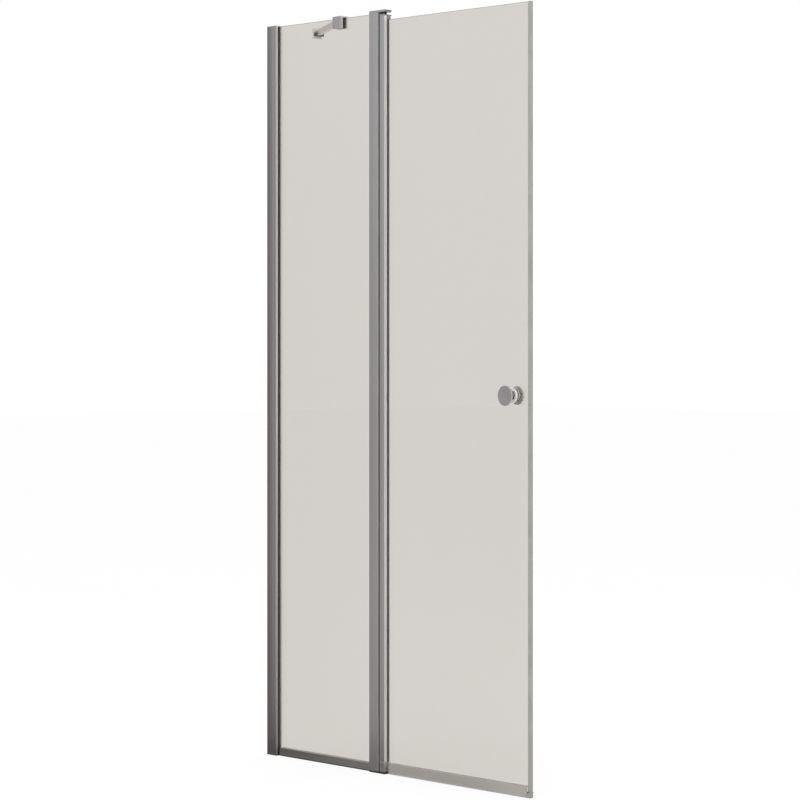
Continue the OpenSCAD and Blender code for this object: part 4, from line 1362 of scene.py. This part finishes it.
@dataclass
class DoorLeaf:
    """Turning leaf: hinge profile with its end pieces, pane, rail and seals."""

    shop: Workshop
    edge: float = 0.5
    arris: float = 1.0
    rail_wall: float = 1.6
    rail_edge: float = 0.8
    groove_h: float = 5.2
    rail_corner: float = 3.0
    seal_wall: float = 1.5
    seal_nose: float = 4.7
    crown: float = 0.06
    seal_step: Point = (1.2, 0.5)
    seal_edge: float = 1.6
    lip_edge: float = 0.4
    tip_edge: float = 0.1
    magnet_edge: float = 0.25
    block_edge: float = 0.6
    screw: ScrewSize = ScrewSize(6.6, 1.8, 3.0, 9.0)

    def build(self) -> None:
        """Builds the leaf without its knobs."""
        shop, finish = self.shop, self.shop.finishes
        # the hinge profile's faces towards +X get the paler side metal: painted light
        shop.softened("hinge_profile", self.edge, finish.upright, crown=self.crown,
                      sides=((RIGHT, finish.lit_side_face),))
        shop.softened("upper_plug", self.edge, finish.fitting, sides=((RIGHT, finish.cut_face),))
        shop.softened("lower_block", self.block_edge, finish.block, sides=((FRONT, finish.upright),))
        # the front quarter of the outer gasket is pale: painted light
        Gasket(shop, "hinge_gasket_out", 1, finish.shade_rubber, finish.pale_rubber).build()
        Gasket(shop, "hinge_gasket_in", 1, finish.dark_rubber).build()
        build_pane(shop, "door_glass", self.arris)
        build_rail(shop, "door_rail", self, finish.door_rail, corner=self.rail_corner)
        build_rail_gaskets(shop, "door_rail_gaskets", finish.door_bead)
        shop.softened("drip_seal", self.edge, finish.drip_vinyl)
        shop.softened("rail_end_cap", self.edge, finish.cap_plastic)
        shop.softened("door_setting_blocks", SOFT_R, finish.dark_plastic, steps=2)
        self.closing_seal()
        self.end_screws()
        shop.dress(finish.dark_plastic, "lower_bush", "moving_lift_cam")

    def closing_seal(self) -> None:
        """Builds the seal on the closing edge with its rounded nose, and the magnet in it."""
        shop, finish = self.shop, self.shop.finishes
        low, high = box_mm("closing_seal")
        half = box_mm("door_glass")[1].y
        glass_x = high.x - self.seal_nose
        across, deep = self.seal_step
        back = [(high.x, high.y, self.seal_edge), (low.x + across, high.y, self.lip_edge),
                (low.x, high.y - deep, SOFT_R), (low.x, half, FINE_R), (glass_x, half, self.tip_edge)]
        front = [(x, -y, radius) for x, y, radius in reversed(back)]
        chamber = box_corners((glass_x + self.seal_wall, high.x - self.seal_wall / 2), (-half, half), SOFT_R)
        shop.upright("closing_seal", [back + front, chamber], finish.edge_vinyl)
        low, high = box_mm("closing_magnet")
        magnet = box_corners((low.x, high.x), (low.y, high.y), self.magnet_edge)
        shop.upright("closing_magnet", [magnet], finish.magnet)

    def end_screws(self) -> None:
        """Builds the screws in the side of the hinge profile."""
        low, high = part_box("hinge_end_screws")
        radius = self.screw.head_d / 2 * MM
        y = (low.y + high.y) / 2
        spots = [(Vector((low.x, y, z)), LEFT) for z in (low.z + radius, high.z - radius)]
        self.shop.screws("hinge_end_screws", spots, self.screw)


@dataclass
class Knobs:
    """Two turned knobs on one stud through the pane."""

    shop: Workshop
    neck_d: float = 23.0
    rim_t: float = 5.5
    hollow: float = 3.0
    edge: float = 1.2
    back_edge: float = 2.2
    dish: float = 0.25
    bore_d: float = 8.1
    roof_t: float = 2.5
    rosette_edge: float = 1.2
    washer_edge: float = 0.2
    seat_edge: float = 0.4
    # height of the band of painted shade on the outer knob's neck
    neck_shade_h: float = 4.5

    def build(self) -> None:
        """Builds both knobs with their rosettes and dresses what joins them."""
        shop, finish = self.shop, self.shop.finishes
        low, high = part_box("knob_stud")
        middle = (low + high) / 2
        for node, towards, metal in zip(("outer_knob", "inner_knob"), (1.0, -1.0), finish.knobs(middle)):
            low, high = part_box(node)
            seat = high.y if towards > 0 else low.y
            outline = self.outline((high.y - low.y) / MM, (high.x - low.x) / MM)
            mesh = shop.turned(outline, self.stand(middle, seat, towards), sides=128)
            for face in mesh.polygons:
                # the outer knob's neck next to its seat gets a black band: painted shade
                out = math.hypot(face.center.x - middle.x, face.center.z - middle.z) / MM
                neck_shaded = out > self.bore_d and abs(face.center.y - seat) / MM < self.neck_shade_h
                face.material_index = 1 if neck_shaded and towards > 0 else 0
            shop.piece(node, mesh, metal, finish.ring)
        low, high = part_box("knob_rosettes")
        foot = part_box("knob_washers")[1].y
        outline = self.rosette((high.y - foot) / MM, (high.x - low.x) / MM)
        discs = [shop.turned(outline, self.stand(middle, -foot * towards, towards))
                 for towards in (1.0, -1.0)]
        shop.piece("knob_rosettes", merged(*discs), finish.rosette)
        shop.softened("knob_washers", self.washer_edge, finish.light_plastic, steps=2)
        shop.dress(finish.steel, "knob_stud")
        shop.dress(finish.light_plastic, "knob_sleeve")

    def stand(self, middle: Vector, seat: float, towards: float) -> Matrix:
        """Returns where an outline stands, with its axis out of the front or the back of the pane."""
        turn = Matrix.Rotation(math.radians(90 * towards), 4, "X")
        return Matrix.Translation((middle.x, seat, middle.z)) @ turn

    def rosette(self, thick: float, width: float) -> Loop:
        """Returns the closed half section of a rosette with a rounded edge.

        Args:
            thick: Thickness of the rosette in millimetres.
            width: Its width across in millimetres.

        Returns:
            Radius and height of each point, in millimetres.
        """
        bore, rim, edge = self.bore_d / 2, width / 2, self.rosette_edge
        return [(bore, thick), (bore, 0.0), (rim, 0.0), *arc(rim - edge, thick - edge, edge, 0, 90, 6),
                (bore, thick)]

    def outline(self, length: float, width: float) -> Loop:
        """Returns the half section of a knob.

        Args:
            length: Distance from the seat to the face in millimetres.
            width: Diameter of the rim in millimetres.

        Returns:
            The outline from the bottom of the blind hole to the middle of the face.
        """
        neck, rim, bore = self.neck_d / 2, width / 2, self.bore_d / 2
        rim_z = length - self.rim_t
        roof = length - self.roof_t
        seat = self.seat_edge
        points = [(0.0, roof), (bore, roof), (bore, 0.0), (neck - seat, 0.0), (neck, seat)]
        # splits the neck where the band of painted shade ends
        if self.neck_shade_h < rim_z - self.hollow:
            points.append((neck, self.neck_shade_h))
        points += arc(neck + self.hollow, rim_z - self.hollow, self.hollow, 180, 90, 12)
        points += arc(rim - self.back_edge, rim_z + self.back_edge, self.back_edge, -90, 0, 8)
        points += arc(rim - self.edge, length - self.edge, self.edge, 0, 90, 8)
        span = rim - self.edge
        rings = 8
        for part in range(1, rings + 1):
            radius = span * (1 - part / rings)
            points.append((radius, length - self.dish * (1 - (radius / span) ** 2)))
        return points


def arc(x: float, y: float, radius: float, start: float, end: float, steps: int) -> Loop:
    """Returns points on an arc.

    Args:
        x: First coordinate of its centre.
        y: Second coordinate of its centre.
        radius: Its radius.
        start: Angle of its first point, in degrees.
        end: Angle of its last point, in degrees.
        steps: Parts of the arc.

    Returns:
        The points.
    """
    turns = [math.radians(start + (end - start) * part / steps) for part in range(steps + 1)]
    return [(x + radius * math.cos(turn), y + radius * math.sin(turn)) for turn in turns]


@dataclass
class Stabiliser:
    """Bar from the fixed pane to the wall, with its clamp, boot and flange."""

    shop: Workshop
    clamp_edge: float = 0.5
    pad_seam: float = 3.0
    bar_edge: float = 1.2
    flange_edge: float = 1.0
    boot_edge: float = 0.35
    clamp_screw: ScrewSize = ScrewSize(5.0, 1.2, 4.99, 3.8)
    bar_screw: ScrewSize = ScrewSize(6.2, 1.35, 3.5, 10.0)

    def build(self) -> None:
        """Builds the clamp, the bar and its end."""
        shop, finish = self.shop, self.shop.finishes
        shop.softened("glass_clamp", self.clamp_edge, finish.fitting)
        self.pads()
        shop.softened("stabiliser_bar", self.bar_edge, finish.bar)
        shop.softened("bar_boot", self.boot_edge, finish.boot)
        shop.softened("wall_flange", self.flange_edge, finish.flange)
        shop.dress(finish.steel, "boot_pin")
        self.screws()

    def pads(self) -> None:
        """Builds the pads in the clamp, black in front of the pane and pale behind it."""
        shop, finish = self.shop, self.shop.finishes
        shape = shop.copied("clamp_pads")
        round_edges(shape, SOFT_R, 2)
        seam = -self.pad_seam * MM
        split(shape, (0.0, seam, 0.0), BACK)
        for face in shape.faces:
            face.material_index = 0 if face.calc_center_median().y < seam else 1
        shop.piece("clamp_pads", finished(shape), finish.black_rubber, finish.pale_rubber)

    def screws(self) -> None:
        """Builds the clamp's screws and the screw that holds the bar."""
        low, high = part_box("clamp_screws")
        radius = self.clamp_screw.head_d / 2 * MM
        z = (low.z + high.z) / 2
        spots = [(Vector((x, high.y, z)), BACK) for x in (low.x + radius, high.x - radius)]
        self.shop.screws("clamp_screws", spots, self.clamp_screw)
        low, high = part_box("bar_screw")
        head = Vector(((low.x + high.x) / 2, low.y, (low.z + high.z) / 2))
        self.shop.screws("bar_screw", [(head, FRONT)], self.bar_screw)


@dataclass(frozen=True)
class Lamp:
    """Large soft lamp that neither metal nor glass shows."""

    name: str
    place: Triple
    size: float
    power: float

    def build(self, target: Triple) -> None:
        """Builds the lamp.

        Args:
            target: Point that it shines at.
        """
        data = bpy.data.lights.new(self.name, "AREA")
        data.shape = "SQUARE"
        data.size = self.size
        data.energy = self.power
        lamp = bpy.data.objects.new(self.name, data)
        lamp.location = self.place
        lamp.visible_glossy = False
        lamp.visible_transmission = False
        lamp.rotation_euler = (Vector(target) - Vector(self.place)).to_track_quat("-Z", "Y").to_euler()
        bpy.context.scene.collection.objects.link(lamp)


class Studio:
    """Pale floor, white surroundings, soft lamps and the photograph's camera."""

    camera_place = (5.918, -4.785, 1.101)
    camera_turn = 48.452
    lens = 127.43
    sensor = 36.0
    clip = 200.0
    shift = -0.0707
    lamps = (Lamp("key", (3.6, -3.2, 3.4), 2.4, 60.0), Lamp("fill", (-1.5, -4.0, 2.6), 3.0, 40.0),
             Lamp("back", (2.2, 3.6, 3.0), 2.6, 45.0))
    target = (0.5, 0.0, 1.0)
    sky_rise = 0.105
    floor_size = 60.0
    floor_cloud = (1.3, 1.3, 1.3)
    floor_tones = [(0.0, (0.90, 0.90, 0.90)), (1.0, (0.93, 0.93, 0.93))]
    floor_white = 0.86
    # painted shade: levels of the floor as metals show it, darker near the door
    back_shade_levels = [(0.0, (0.40, 0.40, 0.40)), (0.25, (0.55, 0.55, 0.55)), (0.6, (0.92, 0.92, 0.92)),
                   (1.0, (0.95, 0.95, 0.95))]
    floor_shade_levels = [(0.0, (0.45, 0.44, 0.43)), (0.130, (0.585, 0.57, 0.56)), (0.143, (0.70, 0.70, 0.70)),
                    (0.3, (0.81, 0.81, 0.81)), (1.0, (0.95, 0.95, 0.95))]
    middle = (0.3, 0.0, 0.0)
    near = 1.2
    far = 4.0
    blend = 0.04

    def build(self) -> None:
        """Builds the studio."""
        self.world()
        self.floor()
        for lamp in self.lamps:
            lamp.build(self.target)
        self.camera()
        bpy.context.scene.view_settings.view_transform = "Standard"

    def world(self) -> None:
        """Builds surroundings that look white, and that metals show with a softly darker side."""
        world = bpy.data.worlds.new("studio")
        bpy.context.scene.world = world
        world.use_nodes = True
        world.node_tree.nodes.clear()
        nodes = Shading(world.node_tree)
        direction = nodes.node("ShaderNodeTexCoord").outputs["Generated"]
        low, high, white = (nodes.node("ShaderNodeBackground", {"Color": colour}).outputs[0] for colour in (
            nodes.mirrored_tone(direction, LOW_TONES), nodes.mirrored_tone(direction, HIGH_TONES),
            (1.0, 1.0, 1.0, 1.0)))
        rise = nodes.ranged(nodes.height(direction), (0.0, self.sky_rise), ALL)
        whole = nodes.mixed(nodes.looks()[1], white, nodes.mixed(rise, low, high))
        nodes.node("ShaderNodeOutputWorld", {"Surface": whole})

    def floor(self) -> None:
        """Builds the pale floor, which keeps the door's soft shadow."""
        half = self.floor_size / 2
        mesh = bpy.data.meshes.new("floor")
        corners = [(-half, -half, 0), (half, -half, 0), (half, half, 0), (-half, half, 0)]
        mesh.from_pydata(corners, [], [(0, 1, 2, 3)])
        shape = bpy.data.objects.new("floor", mesh)
        bpy.context.scene.collection.objects.link(shape)
        recipe = Recipe("pale_floor")
        cloud = recipe.spread(recipe.noise(self.floor_cloud, 3.0))
        recipe.set("Base Color", recipe.colours(cloud, self.floor_tones))
        recipe.set("Roughness", 0.9)
        recipe.set("Specular IOR Level", 0.0)
        seen, mirrored = recipe.looks()
        white = recipe.node("ShaderNodeEmission").outputs["Emission"]
        share = recipe.maths("MULTIPLY", seen, self.floor_white)
        pale = recipe.mixed(share, recipe.shader.outputs["BSDF"], white)
        recipe.end(recipe.mixed(mirrored, pale, self.mirrored_floor(recipe)))
        mesh.materials.append(recipe.material)

    def mirrored_floor(self, recipe: Recipe) -> Socket:
        """Builds the floor as metals show it: bright far away, darker near the door as painted shade, and
        toned before it.

        Args:
            recipe: Node tree of the floor's material.

        Returns:
            The socket with the shader.
        """
        place = recipe.vector("SUBTRACT", recipe.place, self.middle)
        before = recipe.vector("DOT_PRODUCT", place, FRONT, output="Value")
        direction = recipe.vector("NORMALIZE", recipe.vector("ADD", place, scaled(FRONT_SIDE, self.near)))
        share = recipe.maths("DIVIDE", recipe.vector("LENGTH", place, output="Value"), self.far)
        toned = recipe.vector("MULTIPLY", recipe.colours(share, self.floor_shade_levels),
                              recipe.mirrored_tone(direction, LOW_TONES))
        front, back = (recipe.node("ShaderNodeEmission", inputs).outputs["Emission"] for inputs in (
            {"Color": toned}, {"Strength": recipe.colours(share, self.back_shade_levels)}))
        return recipe.mixed(recipe.ranged(before, (-self.blend, self.blend), ALL), back, front)

    def camera(self) -> None:
        """Builds the camera at the photograph's place."""
        data = bpy.data.cameras.new("camera")
        data.lens = self.lens
        data.sensor_width = self.sensor
        data.shift_y = self.shift
        data.clip_end = self.clip
        camera = bpy.data.objects.new("camera", data)
        camera.location = self.camera_place
        camera.rotation_euler = (math.radians(90), 0.0, math.radians(self.camera_turn))
        bpy.context.scene.collection.objects.link(camera)
        bpy.context.scene.camera = camera


def main() -> None:
    """Builds the sub-assemblies, the studio and the camera."""
    logging.basicConfig(level=logging.INFO, format="%(message)s")
    shop = Workshop(Finishes())
    for assembly in (WallSide(shop), FixedPanel(shop), PostAndPivots(shop), DoorLeaf(shop), Knobs(shop),
                     Stabiliser(shop)):
        LOG.info("%s", type(assembly).__name__)
        assembly.build()
    Studio().build()


if __name__ == "__main__":
    main()
